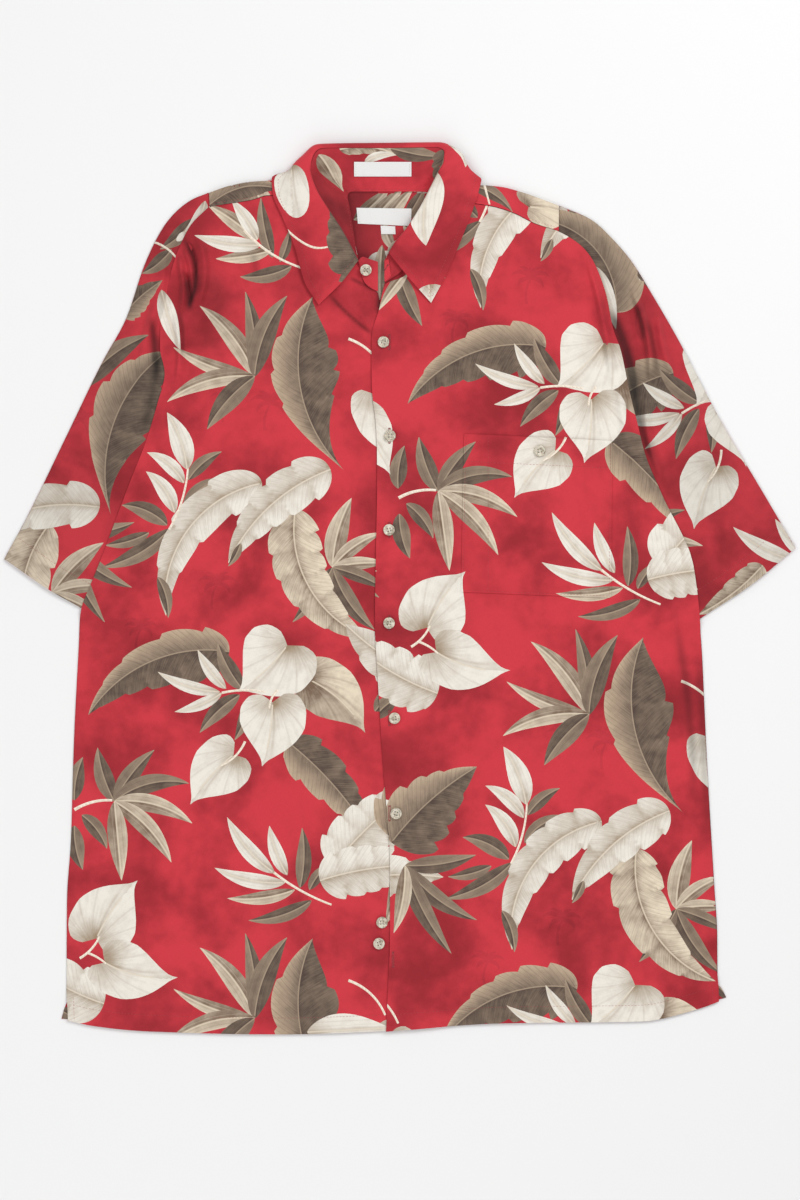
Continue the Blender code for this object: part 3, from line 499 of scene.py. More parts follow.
@dataclass(frozen=True)
class LeafPrint(Finish):
    """Brushed leaf ink: two tones, fine side veins and a paler rib, as a hand-painted leaf looks."""

    deep: str
    pale: str
    rib: str
    vein: float
    brush: float
    rib_width: float = 0.9
    cloth: Rayon = field(default_factory=Rayon)

    def surface(self, node: AddNode) -> bpy.types.Node:
        """The leaf's look."""
        place = node("Attribute", attribute_name=PLACE).outputs["Vector"]
        lines = node("Attribute", attribute_name=LINES).outputs["Vector"]
        parts = node("SeparateXYZ", {0: lines})
        shade, off_rib, phase = parts.outputs
        brush_place = node("CombineXYZ", {0: phase, 1: off_rib, 2: shade})
        brush_scale = node("Mapping", {"Vector": brush_place, "Scale": (2.6, 0.05, 1)})
        brush = node("TexNoise", {"Vector": brush_scale, "Scale": 1.6, "Detail": 3})
        smudge = node("TexNoise", {"Vector": place, "Scale": 0.09, "Detail": 3})
        streak = node("Math", {0: brush, 1: smudge}, operation="ADD")
        streak = node(
            "MapRange",
            {"Value": streak, "From Min": 0.7, "From Max": 1.3, "To Min": -self.brush, "To Max": self.brush},
        )
        tone = node("Math", {0: shade, 1: streak}, operation="ADD", use_clamp=True)
        colour = node("Mix", {"Factor": tone, 6: linear(self.deep), 7: linear(self.pale)}, data_type="RGBA")
        wave = node("Math", {0: phase, 1: 2 * math.pi}, operation="MULTIPLY")
        wave = node("Math", {0: wave}, operation="SINE")
        vein = node("MapRange", {"Value": wave, "From Min": 0.86, "To Max": self.vein})
        veined = node("Mix", {"Factor": vein, 6: colour.outputs[2], 7: linear(self.deep)}, data_type="RGBA")
        rib = node(
            "MapRange",
            {"Value": off_rib, "From Min": self.rib_width * 0.5, "From Max": self.rib_width * 1.1,
             "To Min": 0.85, "To Max": 0.0},
        )
        ribbed = node("Mix", {"Factor": rib, 6: veined.outputs[2], 7: linear(self.rib)}, data_type="RGBA")
        return self.cloth.shade(node, ribbed.outputs[2])


@dataclass(frozen=True)
class SewingThread(Finish):
    """Spun polyester thread, dyed to the cloth: a dull twist with a slight shine on its crest, and painted
    shade along it.
    """

    colour: str
    roughness: float = 0.55
    twist: float = 0.5

    def surface(self, node: AddNode) -> bpy.types.Node:
        """The thread's look."""
        place = node("TexCoord").outputs["Object"]
        ply_painted_shade = node(
            "TexWave", {"Vector": place, "Scale": 0.3 / (self.twist * MM), "Distortion": 1.0},
            bands_direction="DIAGONAL")
        # Painted shade: the colour darkens in diagonal bands along the twist, where the grooves between plies
        # lie.
        painted_dark = tuple(0.72 * c for c in linear(self.colour)[:3]) + (1.0,)
        colour = node("Mix", {"Factor": ply_painted_shade.outputs[1], 6: painted_dark, 7: linear(self.colour)}, data_type="RGBA")
        return node(
            "BsdfPrincipled",
            {"Base Color": colour.outputs[2], "Roughness": self.roughness, "IOR": 1.5, "Sheen Weight": 0.2})


@dataclass(frozen=True)
class HornButton(Finish):
    """Moulded polyester, horn effect: grey and cream clouds under a satin skin."""

    name: str = "moulded_polyester_horn_effect"
    deep: str = "#8F8470"
    pale: str = "#DDD5C3"
    cloud: float = 4.0

    def surface(self, node: AddNode) -> bpy.types.Node:
        """The button's look."""
        place = node("TexCoord").outputs["Object"]
        cloud = node(
            "TexNoise", {"Vector": place, "Scale": 1 / (self.cloud * MM), "Detail": 4, "Distortion": 1.2})
        factor = node("MapRange", {"Value": cloud, "From Min": 0.36, "From Max": 0.62})
        colour = node(
            "Mix", {"Factor": factor, 6: linear(self.deep), 7: linear(self.pale)}, data_type="RGBA")
        bump = node("Bump", {"Height": cloud, "Strength": 0.25, "Distance": 0.05 * MM})
        return node(
            "BsdfPrincipled",
            {"Base Color": colour.outputs[2], "Roughness": 0.34, "IOR": 1.53, "Coat Weight": 0.25,
             "Coat Roughness": 0.25, "Subsurface Weight": 0.08, "Subsurface Scale": 0.001,
             "Normal": bump},
        )


@dataclass(frozen=True)
class WovenTape(Finish):
    """Damask-woven polyester label tape: close white ribs with a satin gleam, left bare.

    Its ribs are 0.15 mm apart and are drawn 0.5 mm apart so that they show.
    """

    colour: str = "#E4E4E2"
    rib: float = 0.5

    def surface(self, node: AddNode) -> bpy.types.Node:
        """The tape's look."""
        place = node("Attribute", attribute_name=PLACE).outputs["Vector"]
        ribs = node(
            "TexWave", {"Vector": place, "Scale": 0.314 / self.rib, "Distortion": 0.3}, bands_direction="Y")
        grain = node("TexNoise", {"Vector": place, "Scale": 0.8, "Detail": 3})
        shadow = node("MapRange", {"Value": grain, "To Min": 0.9, "To Max": 1.03})
        colour = node(
            "Mix", {"Factor": 1.0, 6: linear(self.colour), 7: shadow}, data_type="RGBA",
            blend_type="MULTIPLY")
        bump = node("Bump", {"Height": ribs.outputs[1], "Strength": 0.6, "Distance": 0.06 * MM})
        return node(
            "BsdfPrincipled",
            {"Base Color": colour.outputs[2], "Roughness": 0.5, "IOR": 1.5, "Sheen Weight": 0.3,
             "Normal": bump},
        )


@dataclass(frozen=True)
class PaintedFloor(Finish):
    """Matt off-white painted board, which looks even and casts no reflections."""

    name: str = "matt_white_painted_board"
    colour: str = "#ECECEC"

    def surface(self, node: AddNode) -> bpy.types.Node:
        """The floor's look."""
        return node(
            "BsdfPrincipled",
            {"Base Color": linear(self.colour), "Roughness": 0.95, "Specular IOR Level": 0.1})


class Ink(Enum):
    """The colours of the print. The number is the material slot on every piece of cloth."""

    GROUND = 0
    CREAM = 1
    TAN = 2
    TAUPE = 3
    STEM = 4
    PALM = 5


class Palette:
    """The cloth's materials, one for each ink, with one more for the cloth's plain inside."""

    def __init__(self) -> None:
        """Makes each material once."""
        self.inks = [
            GroundPrint("rayon_red_ground", "#931F29", "#CA3540").material(),
            LeafPrint("rayon_cream_leaf", "#98836A", "#E7E1D6", "#DDD1BF", vein=0.19, brush=0.16).material(),
            LeafPrint("rayon_tan_leaf", "#735C4A", "#E0D1BA", "#DACBB4", vein=0.26, brush=0.22).material(),
            LeafPrint(
                "rayon_taupe_leaf", "#4F4038", "#BDA68D", "#A8947E", vein=0.30, brush=0.13, rib_width=0.7,
            ).material(),
            LeafPrint("rayon_pale_stem", "#CDBDA6", "#F0E4D4", "#F0E4D4", vein=0.0, brush=0.1).material(),
            GroundPrint("rayon_palm_shadow", "#861A25", "#C0333E").material()]
        self.inside = GroundPrint("rayon_red_inside", "#9E3A42", "#B8525A").material()


# ---------------------------------------------------------------- the leaf print

class Form(Enum):
    """The shapes in the print."""

    HEART = "heart"
    PLUME = "plume"
    LANCE = "lance"
    BLADE = "blade"
    OVAL = "oval"
    STALK = "stalk"


H, P, L, B, O, S = Form.HEART, Form.PLUME, Form.LANCE, Form.BLADE, Form.OVAL, Form.STALK
CREAM, TAN, TAUPE, STEM = Ink.CREAM, Ink.TAN, Ink.TAUPE, Ink.STEM

# One side of a heart-shaped leaf from its notch round to its tip.
HEART_SIDE = (
    # share of the length, share of the width
    (0.0, 0.0), (-0.07, 0.09), (-0.13, 0.20), (-0.12, 0.32), (-0.02, 0.43), (0.13, 0.49), (0.30, 0.49),
    (0.48, 0.42), (0.65, 0.29), (0.80, 0.14), (0.91, 0.04), (1.0, 0.0),
)


@dataclass(frozen=True)
class Motif:
    """One printed leaf, by its base, tip and width, bent into an arc.

    bend is the arc's rise over its chord, above zero to the left of the way from base to tip.
    pale is the side that catches the light: 1 left, -1 right, 0 neither. skew is above zero where
    the left half is the wider one.
    """

    form: Form
    ink: Ink
    base: Plan
    tip: Plan
    width: float
    bend: float = 0.0
    pale: int = 0
    skew: float = 0.0

    def moved(self, turn: float, centre: Plan, shift: Plan) -> "Motif":
        """The motif turned by `turn` radians about `centre`, then shifted."""
        cos, sin = math.cos(turn), math.sin(turn)

        def put(point: Plan) -> Plan:
            """One point, turned and shifted."""
            x, y = point[0] - centre[0], point[1] - centre[1]
            return centre[0] + cos * x - sin * y + shift[0], centre[1] + sin * x + cos * y + shift[1]

        return replace(self, base=put(self.base), tip=put(self.tip))

    def arc(self) -> tuple[Array, float, float, float]:
        """Centre of the rib's circle, heading at the base, curvature and length."""
        base, tip = np.array(self.base), np.array(self.tip)
        chord = float(np.linalg.norm(tip - base))
        half = 2 * math.atan(2 * self.bend) if abs(self.bend) > 1e-4 else 1e-4
        heading = math.atan2(*(tip - base)[::-1]) + half
        curvature = -2 * math.sin(half) / chord
        normal = np.array((-math.sin(heading), math.cos(heading)))
        return base + normal / curvature, heading, curvature, half * chord / math.sin(half)

    def to_plan(self, s: Array, t: Array) -> Array:
        """Plan points at lengths s along the rib and t to its left."""
        centre, heading, curvature, _ = self.arc()
        angle = heading + curvature * s
        sideways = np.stack([-np.sin(angle), np.cos(angle)], axis=-1)
        return centre + (t - 1 / curvature)[..., None] * sideways

    def to_leaf(self, plan: Array) -> tuple[Array, Array]:
        """Lengths along the rib and to its left of plan points."""
        centre, heading, curvature, _ = self.arc()
        away = plan - centre
        sign = -math.copysign(1.0, curvature)
        reach = np.linalg.norm(away, axis=-1)
        angle = np.arctan2(sign * away[..., 1], sign * away[..., 0]) - (heading + math.pi / 2)
        angle = (angle + math.pi) % (2 * math.pi) - math.pi
        return angle / curvature, sign * reach + 1 / curvature

    def torn(self) -> bool:
        """Whether its edge is torn into lobes."""
        return self.form in (Form.PLUME, Form.LANCE)

    def lobes(self, q: Array, side: int) -> Array:
        """How far into its torn lobe each place is, from 0 to 1, on one side of a plume."""
        seed = math.sin(12.9898 * self.base[0] + 78.233 * self.base[1] + 3.1 * side)
        count = 5.0 + 1.5 * seed
        return (q * count + 0.5 + 0.45 * math.sin(9.0 * seed) + 0.16 * np.sin(9.0 * q + 5 * seed)) % 1.0

    def half_width(self, q: Array, side: int) -> Array:
        """Half of the leaf's width at shares q of its length, on one side."""
        q = np.clip(q, 0, 1)
        half = self.width / 2 * (1 + side * self.skew)
        if self.form is Form.STALK:
            return half * (1.0 - 0.25 * q)
        if self.form is Form.OVAL:
            return half * np.sqrt(1 - (2 * q - 1) ** 2) * (1.1 - 0.3 * q)
        if self.form is Form.BLADE:
            return half * np.sin(math.pi * q**0.78) ** 0.9
        if self.form is Form.LANCE:
            torn = 1 - 0.20 * (1 - self.lobes(q, side)) ** 3.0 * eased((q - 0.25) / 0.3)
            return half * np.sin(math.pi * q**1.4) ** 1.2 * torn
        swell = np.sqrt(1 - (1 - np.minimum(q / 0.2, 1)) ** 2)
        taper = 1 - np.clip((q - 0.28) / 0.72, 0, 1) ** (1.5 if self.ink is Ink.TAUPE else 1.9)
        depth, narrow = (0.24, 2.0) if self.ink is Ink.TAUPE else (0.20, 3.2)
        torn = 1 - depth * (1 - self.lobes(q, side)) ** narrow * eased(q / 0.15) * (1 - q) ** 0.25
        return half * swell * taper * torn

    def outline(self) -> Array:
        """Plan points round the leaf, anticlockwise."""
        length = self.arc()[3]
        if self.form is Form.HEART:
            half = along(HEART_SIDE, 26)
            left = self.to_plan(half[:, 0] * length, half[:, 1] * self.width)
            right = self.to_plan(half[:, 0] * length, -half[:, 1] * self.width * 0.94)
            loop = np.concatenate([right, left[-2:0:-1]])
        else:
            pitch = 2.0 if self.torn() else 3.2
            q = np.linspace(0, 1, max(10, int(length / pitch)))
            q = q if self.form is Form.STALK else 0.5 - 0.5 * np.cos(math.pi * q)
            left = self.to_plan(q * length, self.half_width(q, 1))
            right = self.to_plan(q * length, -self.half_width(q, -1))
            trim = slice(None) if self.form is Form.STALK else slice(1, -1)
            loop = np.concatenate([right, left[::-1][trim]])
        return anticlockwise(loop)

    def inner_points(self) -> Array:
        """Plan points within the leaf that carry its rib and shading."""
        length = self.arc()[3]
        if self.form is Form.STALK:
            return np.zeros((0, 2))
        if self.form is Form.HEART:
            shares, sides = np.meshgrid(np.arange(-0.1, 0.97, 0.07), np.linspace(-0.45, 0.45, 11))
            points = self.to_plan(shares.ravel() * length, sides.ravel() * self.width)
            return points[inside(points, self.outline())]
        q = np.linspace(0.03, 0.97, max(6, int(length / 4.5)))
        across = (-0.9, -0.6, -0.25, 0.25, 0.6, 0.9) if self.torn() else (-0.55, 0.55)
        rows = [self.to_plan(q * length, k * self.half_width(q, int(math.copysign(1, k)))) for k in across]
        return np.concatenate(rows)

    def rib(self) -> Array:
        """Plan points along the rib, which splits the leaf in two."""
        length = self.arc()[3]
        if self.form in (Form.STALK, Form.OVAL):
            return np.zeros((0, 2))
        s = np.linspace(0.04, 0.72 if self.form is Form.HEART else 0.985, max(5, int(length / 5))) * length
        return self.to_plan(s, 0 * s)

    def lines(self, plan: Array, middle: Array) -> Array:
        """Shade, distance from the rib and vein phase at plan points within the leaf.

        Args:
            plan: The points.
            middle: A point of the same face for each, which says which side of the rib it is on.

        Returns:
            Three numbers for each point.
        """
        length = self.arc()[3]
        s, t = self.to_leaf(plan)
        side = np.where(self.to_leaf(middle)[1] > 0, 1, -1)
        q, off = s / length, np.abs(t)
        lit = side * self.pale
        if self.form is Form.STALK:
            return np.stack([0.4 + 0.6 * (side > 0), off + 9.0, q * 0], axis=-1)
        if self.form in (Form.HEART, Form.OVAL):
            notch = np.exp(-(s**2 + t**2) / (0.26 * length) ** 2)
            fold = np.exp(-off / (0.07 * self.width)) * (side > 0)
            blush = eased((0.32 - q) / 0.6) * (0.6 + 0.4 * side)
            shade = 0.98 - 0.55 * notch - 0.30 * fold - 0.46 * blush + 0.5 * np.minimum(lit, 0)
            turn = np.arctan2(t, s + 0.12 * length) / 0.36
            return np.stack([shade, np.where((q > 0) & (q < 0.72), off, 9.0), turn], axis=-1)
        half = np.where(side > 0, self.half_width(q, 1), self.half_width(q, -1))
        reach = np.minimum(off / np.maximum(half, 0.8), 1.1)
        if self.torn():
            lobe = np.where(side > 0, self.lobes(q, 1), self.lobes(q, -1))
            if self.ink is Ink.TAUPE:
                bright = 0.30 + 0.72 * reach**1.3 - 0.16 * (1 - lobe) ** 2 * reach
                dull = 0.14 + 0.22 * lobe**3 * reach - 0.10 * np.exp(-off / 3)
                shade = np.where((lit > 0) | ((self.pale == 0) & (side > 0)), bright, dull)
            else:
                shade = 1.0 - 0.68 * np.exp(-off / 5.0) - 0.50 * (1 - lobe) ** 3 * reach
                shade = shade + 0.2 * np.minimum(lit, 0) - (0.06 * (1 - q) if self.ink is Ink.TAN else 0.0)
            return np.stack([shade, off, (s - 0.85 * off) / 5.2], axis=-1)
        if self.ink is Ink.TAUPE:
            shade = 0.07 + (0.16 + 0.20 * q) * (side > 0) + 0.10 * reach
        elif self.ink is Ink.TAN:
            shade = 0.06 + 0.30 * q + (0.18 + 0.36 * reach) * (side > 0) + 0.06 * reach
        else:
            shade = 1.0 - 0.55 * np.exp(-off / 1.8) - 0.42 * eased((0.4 - q) / 0.4)
        return np.stack([shade, off, t / 4.4 + 0.25], axis=-1)


def leaves(*rows: tuple) -> tuple[Motif, ...]:
    """Motifs from rows of form, ink, base, tip, width, bend, pale side and skew."""
    return tuple(Motif(*row) for row in rows)


def palm(x: float, y: float, size: float) -> list[Motif]:
    """A small palm in the shadow colour: a leaning trunk and a crown of drooping fronds."""
    top = (x + 0.12 * size, y + 0.62 * size)
    made = [Motif(Form.STALK, Ink.PALM, (x, y), top, 0.07 * size, 0.10)]
    for angle, reach, droop in ((15, 0.5, 0.3), (52, 0.46, 0.22), (88, 0.36, 0.1), (128, 0.46, -0.22),
                                (165, 0.5, -0.3), (205, 0.34, -0.3), (-28, 0.34, 0.3)):
        a = math.radians(angle)
        tip = (top[0] + reach * size * math.cos(a), top[1] + reach * size * math.sin(a) - 0.06 * size)
        made.append(Motif(Form.BLADE, Ink.PALM, top, tip, 0.12 * size, droop))
    return made


REPEAT_LEAVES = leaves(
    # form, ink, base x, y, tip x, y, width, bend, pale side; later ones lie on earlier ones
    # the long dark leaf, the hearts and their sprigs
    (P, TAUPE, (-162, -60), (-296, -120), 55, -0.15, -1, 0.18),
    (P, TAUPE, (-106, -146), (-24, -242), 46, 0.05, -1),
    (B, TAUPE, (-149, -96), (-173, -52), 17, 0.05),
    (B, TAUPE, (-152, -101), (-190, -137), 16, -0.06),
    (B, TAUPE, (-142, -104), (-157, -144), 13, 0.05),
    (H, TAN, (-85, -87), (-33, -137), 56, 0.08, 1),
    (H, CREAM, (-107, -54), (-154, -98), 78, 0.05),
    (S, STEM, (-169, -99), (-128, -98), 2.3, 0.05),
    (B, CREAM, (-165, -95), (-192, -58), 12, 0.05),
    (B, CREAM, (-171, -98), (-230, -79), 12, 0.07),
    (B, CREAM, (-169, -99), (-214, -117), 11, 0.06),
    (H, CREAM, (-121, -108), (-131, -169), 66, 0.04),
    (S, STEM, (-116, -96), (-124, -114), 2.3, -0.1),
    (H, CREAM, (-158, -158), (-199, -205), 57, -0.05),
    (S, STEM, (-147, -145), (-170, -168), 2.3, 0.1),
    # the three torn leaves, with a sprig and a fan
    (B, TAN, (-64, 20), (-46, 86), 21, 0.06),
    (B, TAN, (-64, 20), (-17, 53), 14, 0.08),
    (B, TAN, (-64, 20), (-13, 24), 13, 0.04),
    (B, TAUPE, (-64, 20), (-12, -1), 13, 0.04),
    (B, TAUPE, (-64, 20), (-24, -39), 18, -0.08),
    (B, TAUPE, (-64, 20), (-102, -32), 16, 0.04),
    (B, TAUPE, (-201, 103), (-169, 130), 13, 0.08),
    (B, TAUPE, (-205, 76), (-163, 103), 13, 0.14),
    (B, TAUPE, (-221, 60), (-264, 79), 17, -0.1),
    (B, TAUPE, (-218, 57), (-283, 20), 17, 0.08),
    (B, TAUPE, (-238, 53), (-280, 41), 12, 0.06),
    (P, TAN, (-99, 76), (-30, -47), 51, -0.18, 1),
    (P, CREAM, (-131, 100), (-222, -26), 42, -0.2, 1),
    (P, CREAM, (-66, 113), (-163, 24), 45, -0.1, 1),
    (B, TAUPE, (-230, 11), (-220, -28), 12, 0.08),
    (B, TAUPE, (-151, 43), (-163, 21), 8, 0.05),
    (S, STEM, (-219, 56), (-201, 117), 2.3, -0.06),
    (B, CREAM, (-214, 72), (-241, 111), 16, -0.1),
    (B, CREAM, (-205, 100), (-240, 129), 14, -0.1),
    (B, CREAM, (-202, 113), (-221, 167), 21, -0.06),
    # the dark fan on its stem
    (B, TAUPE, (-309, -201), (-301, -160), 17, 0.06),
    (B, TAUPE, (-309, -225), (-301, -267), 17, -0.06),
    (B, TAUPE, (-302, -215), (-278, -247), 15, 0.08),
    (B, TAUPE, (-271, -202), (-287, -151), 18, 0.05),
    (B, TAUPE, (-271, -202), (-233, -153), 17, 0.05),
    (B, TAUPE, (-271, -202), (-200, -185), 18, 0.12),
    (B, TAN, (-271, -202), (-197, -223), 17, 0.1),
    (B, TAN, (-271, -202), (-217, -260), 18, 0.08),
    (B, TAN, (-271, -202), (-264, -277), 19),
    (S, STEM, (-309, -210), (-273, -201), 3, 0.08),
    # the broad fan and the leaf beside it
    (B, TAN, (-138, 201), (-190, 268), 19, -0.08),
    (B, TAUPE, (-138, 201), (-147, 282), 17, -0.05),
    (B, TAUPE, (-138, 201), (-107, 278), 23, 0.08),
    (B, TAN, (-138, 201), (-215, 229), 14, 0.06),
    (B, TAN, (-138, 201), (-221, 177), 17, -0.1),
    (B, TAUPE, (-138, 201), (-183, 151), 21, -0.06),
    (L, TAUPE, (-53, 112), (-83, 277), 66, 0.16, 1, -0.2),
    # the cream sprig
    (B, TAUPE, (-84, -296), (-144, -315), 14, 0.08),
    (B, TAUPE, (-95, -284), (-93, -227), 15, -0.05),
    (B, TAUPE, (-86, -286), (-68, -261), 11, 0.05),
    (S, STEM, (-124, -266), (-65, -300), 2.5, -0.045),
    (B, TAN, (-100, -286), (-164, -294), 13, 0.06),
    (B, CREAM, (-119, -270), (-164, -217), 16, 0.07),
    (B, CREAM, (-107, -272), (-124, -225), 14, 0.05),
    (B, CREAM, (-109, -279), (-176, -265), 15, 0.07),
    (P, CREAM, (-64, -264), (20, -186), 56, 0.04, 1),
    (P, CREAM, (-76, -277), (36, -264), 48, 0.05, 1),
    # two hearts on a forked stem, with a torn leaf
    (B, TAUPE, (-344, 188), (-317, 211), 17, 0.05),
    (P, CREAM, (-281, -394), (-372, -338), 54, 0.06, -1),
    (H, CREAM, (-288, -332), (-249, -277), 66, 0.05),
    (H, CREAM, (-280, -355), (-211, -369), 57, -0.08),
    (S, STEM, (-304, -351), (-285, -330), 2.5, -0.08),
    (S, STEM, (-296, -346), (-279, -356), 2.3, 0.05),
    # the dark leaf over the lower fan
    (B, TAUPE, (-320, 50), (-252, 63), 17, -0.05),
    (B, TAUPE, (-320, 50), (-254, 1), 17, -0.08),
    (B, TAUPE, (-320, 50), (-280, -32), 18, -0.05),
    (B, TAN, (-320, 50), (-334, -15), 15, 0.05),
    (P, TAUPE, (-332, 71), (-247, 147), 70, 0.05, 1, -0.1),
    # the heart that stands by itself
    (S, STEM, (-49, 237), (-14, 204), 2.6, 0.11),
    (H, CREAM, (-24, 184), (8, 114), 60),
)
REPEAT_PALMS = (
    # foot x, y, size
    (-128, 150, 40), (-168, 158, 34), (-178, -20, 38), (-88, -300, 36), (-250, -60, 34), (-110, 215, 30),
)


@dataclass(frozen=True)
class Placing:
    """How the print lies on a cut: its point `held` falls on `put`, turned by so many degrees.

    slant and rise are how far the stretched cloth carries it across and up, for each millimetre.
    Near the pieces' seams the repeat is cut: leaves within a circle of `clear`, given by its middle
    and radius, are left out, and those of `extra` are shown.
    """

    turn: float = 0.0
    held: Plan = (0.0, 0.0)
    put: Plan = (0.0, 0.0)
    slant: float = 0.0
    rise: float = 0.0
    clear: Sequence[tuple[float, float, float]] = ()
    extra: Sequence["Motif"] = ()

    def place(self, motif: "Motif") -> "Motif":
        """The motif where it lies on the cut."""
        shift = (self.put[0] - self.held[0], self.put[1] - self.held[1])
        here = motif.moved(math.radians(self.turn), self.held, shift)
        ends = [(x + self.slant * (y - self.put[1]), y + self.rise * (x - self.put[0]))
                for x, y in (here.base, here.tip)]
        return replace(here, base=ends[0], tip=ends[1])


class PrintRepeat:
    """The screen's repeat: every leaf once, stepped by a half drop over the cloth."""

    DROP = 304.5
    STEP = 320.0

    def __init__(self) -> None:
        """Lays the palms' shadows under the leaves."""
        self.motifs = [leaf for palm_place in REPEAT_PALMS for leaf in palm(*palm_place)] + [*REPEAT_LEAVES]

    def over(self, loop: Array, placing: "Placing") -> list[Motif]:
        """The motifs that reach a piece of cloth, in the order they lie.

        Args:
            loop: The piece's outline on the cut.
            placing: How the print lies on the piece.

        Returns:
            The motifs, placed on the piece.
        """
        low, high = loop.min(axis=0), loop.max(axis=0)
        found = []
        for motif in self.motifs:
            for i in range(-4, 5):
                for j in range(-4, 5):
                    step = ((i + j) * self.STEP, (i - j) * self.DROP)
                    here = placing.place(motif.moved(0.0, (0.0, 0.0), step))
                    middle = (np.array(here.base) + here.tip) / 2
                    reach = np.linalg.norm(np.subtract(here.tip, here.base)) / 2 + here.width
                    if any(math.hypot(middle[0] - x, middle[1] - y) < r for x, y, r in placing.clear):
                        continue
                    if np.all(middle > low - reach) and np.all(middle < high + reach):
                        found.append(here)
        return found + list(placing.extra)


# ---------------------------------------------------------------- cloth

@dataclass(frozen=True)
class Crease:
    """One soft ridge of the laid cloth, or a trough where its height is below zero.

    It runs from start to end on an arc, fades out at both ends, and is steeper on one flank:
    lean is above zero where the left flank is the wider one. painted_dark is the share by which the
    fold darkens the cloth's colour as painted shade; with a height of zero a crease is painted shade only.
    """

    start: Plan
    end: Plan
    width: float
    height: float
    bend: float = 0.0
    lean: float = 0.0
    painted_dark: float = 0.0

    def rise(self, plan: Array) -> Array:
        """Height that it adds at each plan point."""
        return self.height * self.strength(plan)

    def strength(self, plan: Array) -> Array:
        """How much of it each plan point has, from 0 to 1."""
        way = np.subtract(self.end, self.start)
        length = float(np.hypot(*way))
        along_way = (plan - self.start) @ way / length**2
        aside = (plan - self.start) @ np.array((-way[1], way[0])) / length
        q = np.clip(along_way, 0, 1)
        aside = aside - 4 * self.bend * length * q * (1 - q)
        width = self.width * (1 + self.lean * np.sign(aside))
        ends = eased((along_way + 0.18) / 0.36) * eased((1.18 - along_way) / 0.36)
        return ends * np.exp(-((aside / width) ** 2))

    def points(self) -> Array:
        """Plan points that a narrow one needs in the cloth to show."""
        if self.width > 7:
            return np.zeros((0, 2))
        way = np.subtract(self.end, self.start)
        length = float(np.hypot(*way))
        across = (-1.8, -1.2, -0.7, -0.3, 0, 0.3, 0.7, 1.2, 1.8)
        q, k = (a.ravel() for a in np.meshgrid(np.linspace(-0.1, 1.1, int(length / 2.5)), across))
        aside = k * self.width + 4 * self.bend * length * np.clip(q * (1 - q), 0, 1)
        return self.start + q[:, None] * way + (aside / length)[:, None] * np.array((-way[1], way[0]))


def folds(*rows: tuple) -> tuple[Crease, ...]:
    """Creases from rows of start, end, width, height, bend, lean and painted dark."""
    return tuple(Crease(*row) for row in rows)


def fold_painted_shade(creases: Iterable[Crease], plan: Array, least: float = 0.0) -> Array:
    """Share of each plan point's colour that the folds darken as painted shade, with `least` added
    everywhere.
    """
    lost = sum((c.painted_dark * c.strength(plan) for c in creases if c.painted_dark), np.full(len(plan), least))
    return np.minimum(lost, 0.8)


def ripple(plan: Array, seed: float, height: float = 0.22) -> Array:
    """Low uneven swells of cloth that has been smoothed by hand."""
    x, y = plan[:, 0] + 37 * seed, plan[:, 1] - 61 * seed
    swell = (
        np.sin(x / 23 + 1.7 * np.sin(y / 61)) * np.sin(y / 37 + 1.3 * np.sin(x / 47))
        + 0.6 * np.sin(x / 11.5 + 2.2 * np.sin(y / 33) + 0.4) * np.sin(y / 29 + 1.1 * np.sin(x / 19))
    )
    return height * swell


@dataclass(frozen=True)
class Band:
    """An edge of the cut that is turned and sewn: thicker cloth, puckered along its stitches."""

    line: Array
    stitch: float | None
    width: float
    rise: float = 0.3
    pucker: float = 0.14

    def relief(self, flat: Array) -> Array:
        """How far it lifts the cloth's face at each point of the cut."""
        distance, place = from_line(flat, self.line)
        lift = self.rise * near(distance, self.width - 0.7, 1.4)
        if self.stitch is not None:
            from_stitch = np.abs(distance - self.stitch)
            phase = place @ (1.0, 0.86)
            wave = np.sin(phase / 1.15 + 2.0 * np.sin(phase / 9.1)) * (0.6 + 0.4 * np.sin(phase / 6.3 + 1))
            lift = lift - 0.16 * np.exp(-((from_stitch / 0.7) ** 2))
            lift = lift + self.pucker * wave * np.exp(-((from_stitch / 3.6) ** 2))
        return lift

    def points(self) -> Array:
        """Points of the cut that its form needs."""
        steps = {self.width - 0.7, self.width + 0.7}
        if self.stitch is not None:
            steps |= {self.stitch + k for k in (-4.0, -2.0, -0.8, 0.0, 0.8, 2.0, 4.0)}
        return beside(self.line, [k for k in steps if k > 0.4], 2.4)


def offset(line: Array, distance: float) -> Array:
    """The line moved to its left."""
    step = np.gradient(line, axis=0)
    return line + distance * unit(np.stack([-step[:, 1], step[:, 0]], axis=-1))


def beside(line: Array, distances: Iterable[float], pitch: float) -> Array:
    """Points in rows along both sides of a line."""
    line = spaced(line, pitch)
    return np.concatenate([offset(line, side * k) for k in distances for side in (-1, 1)])


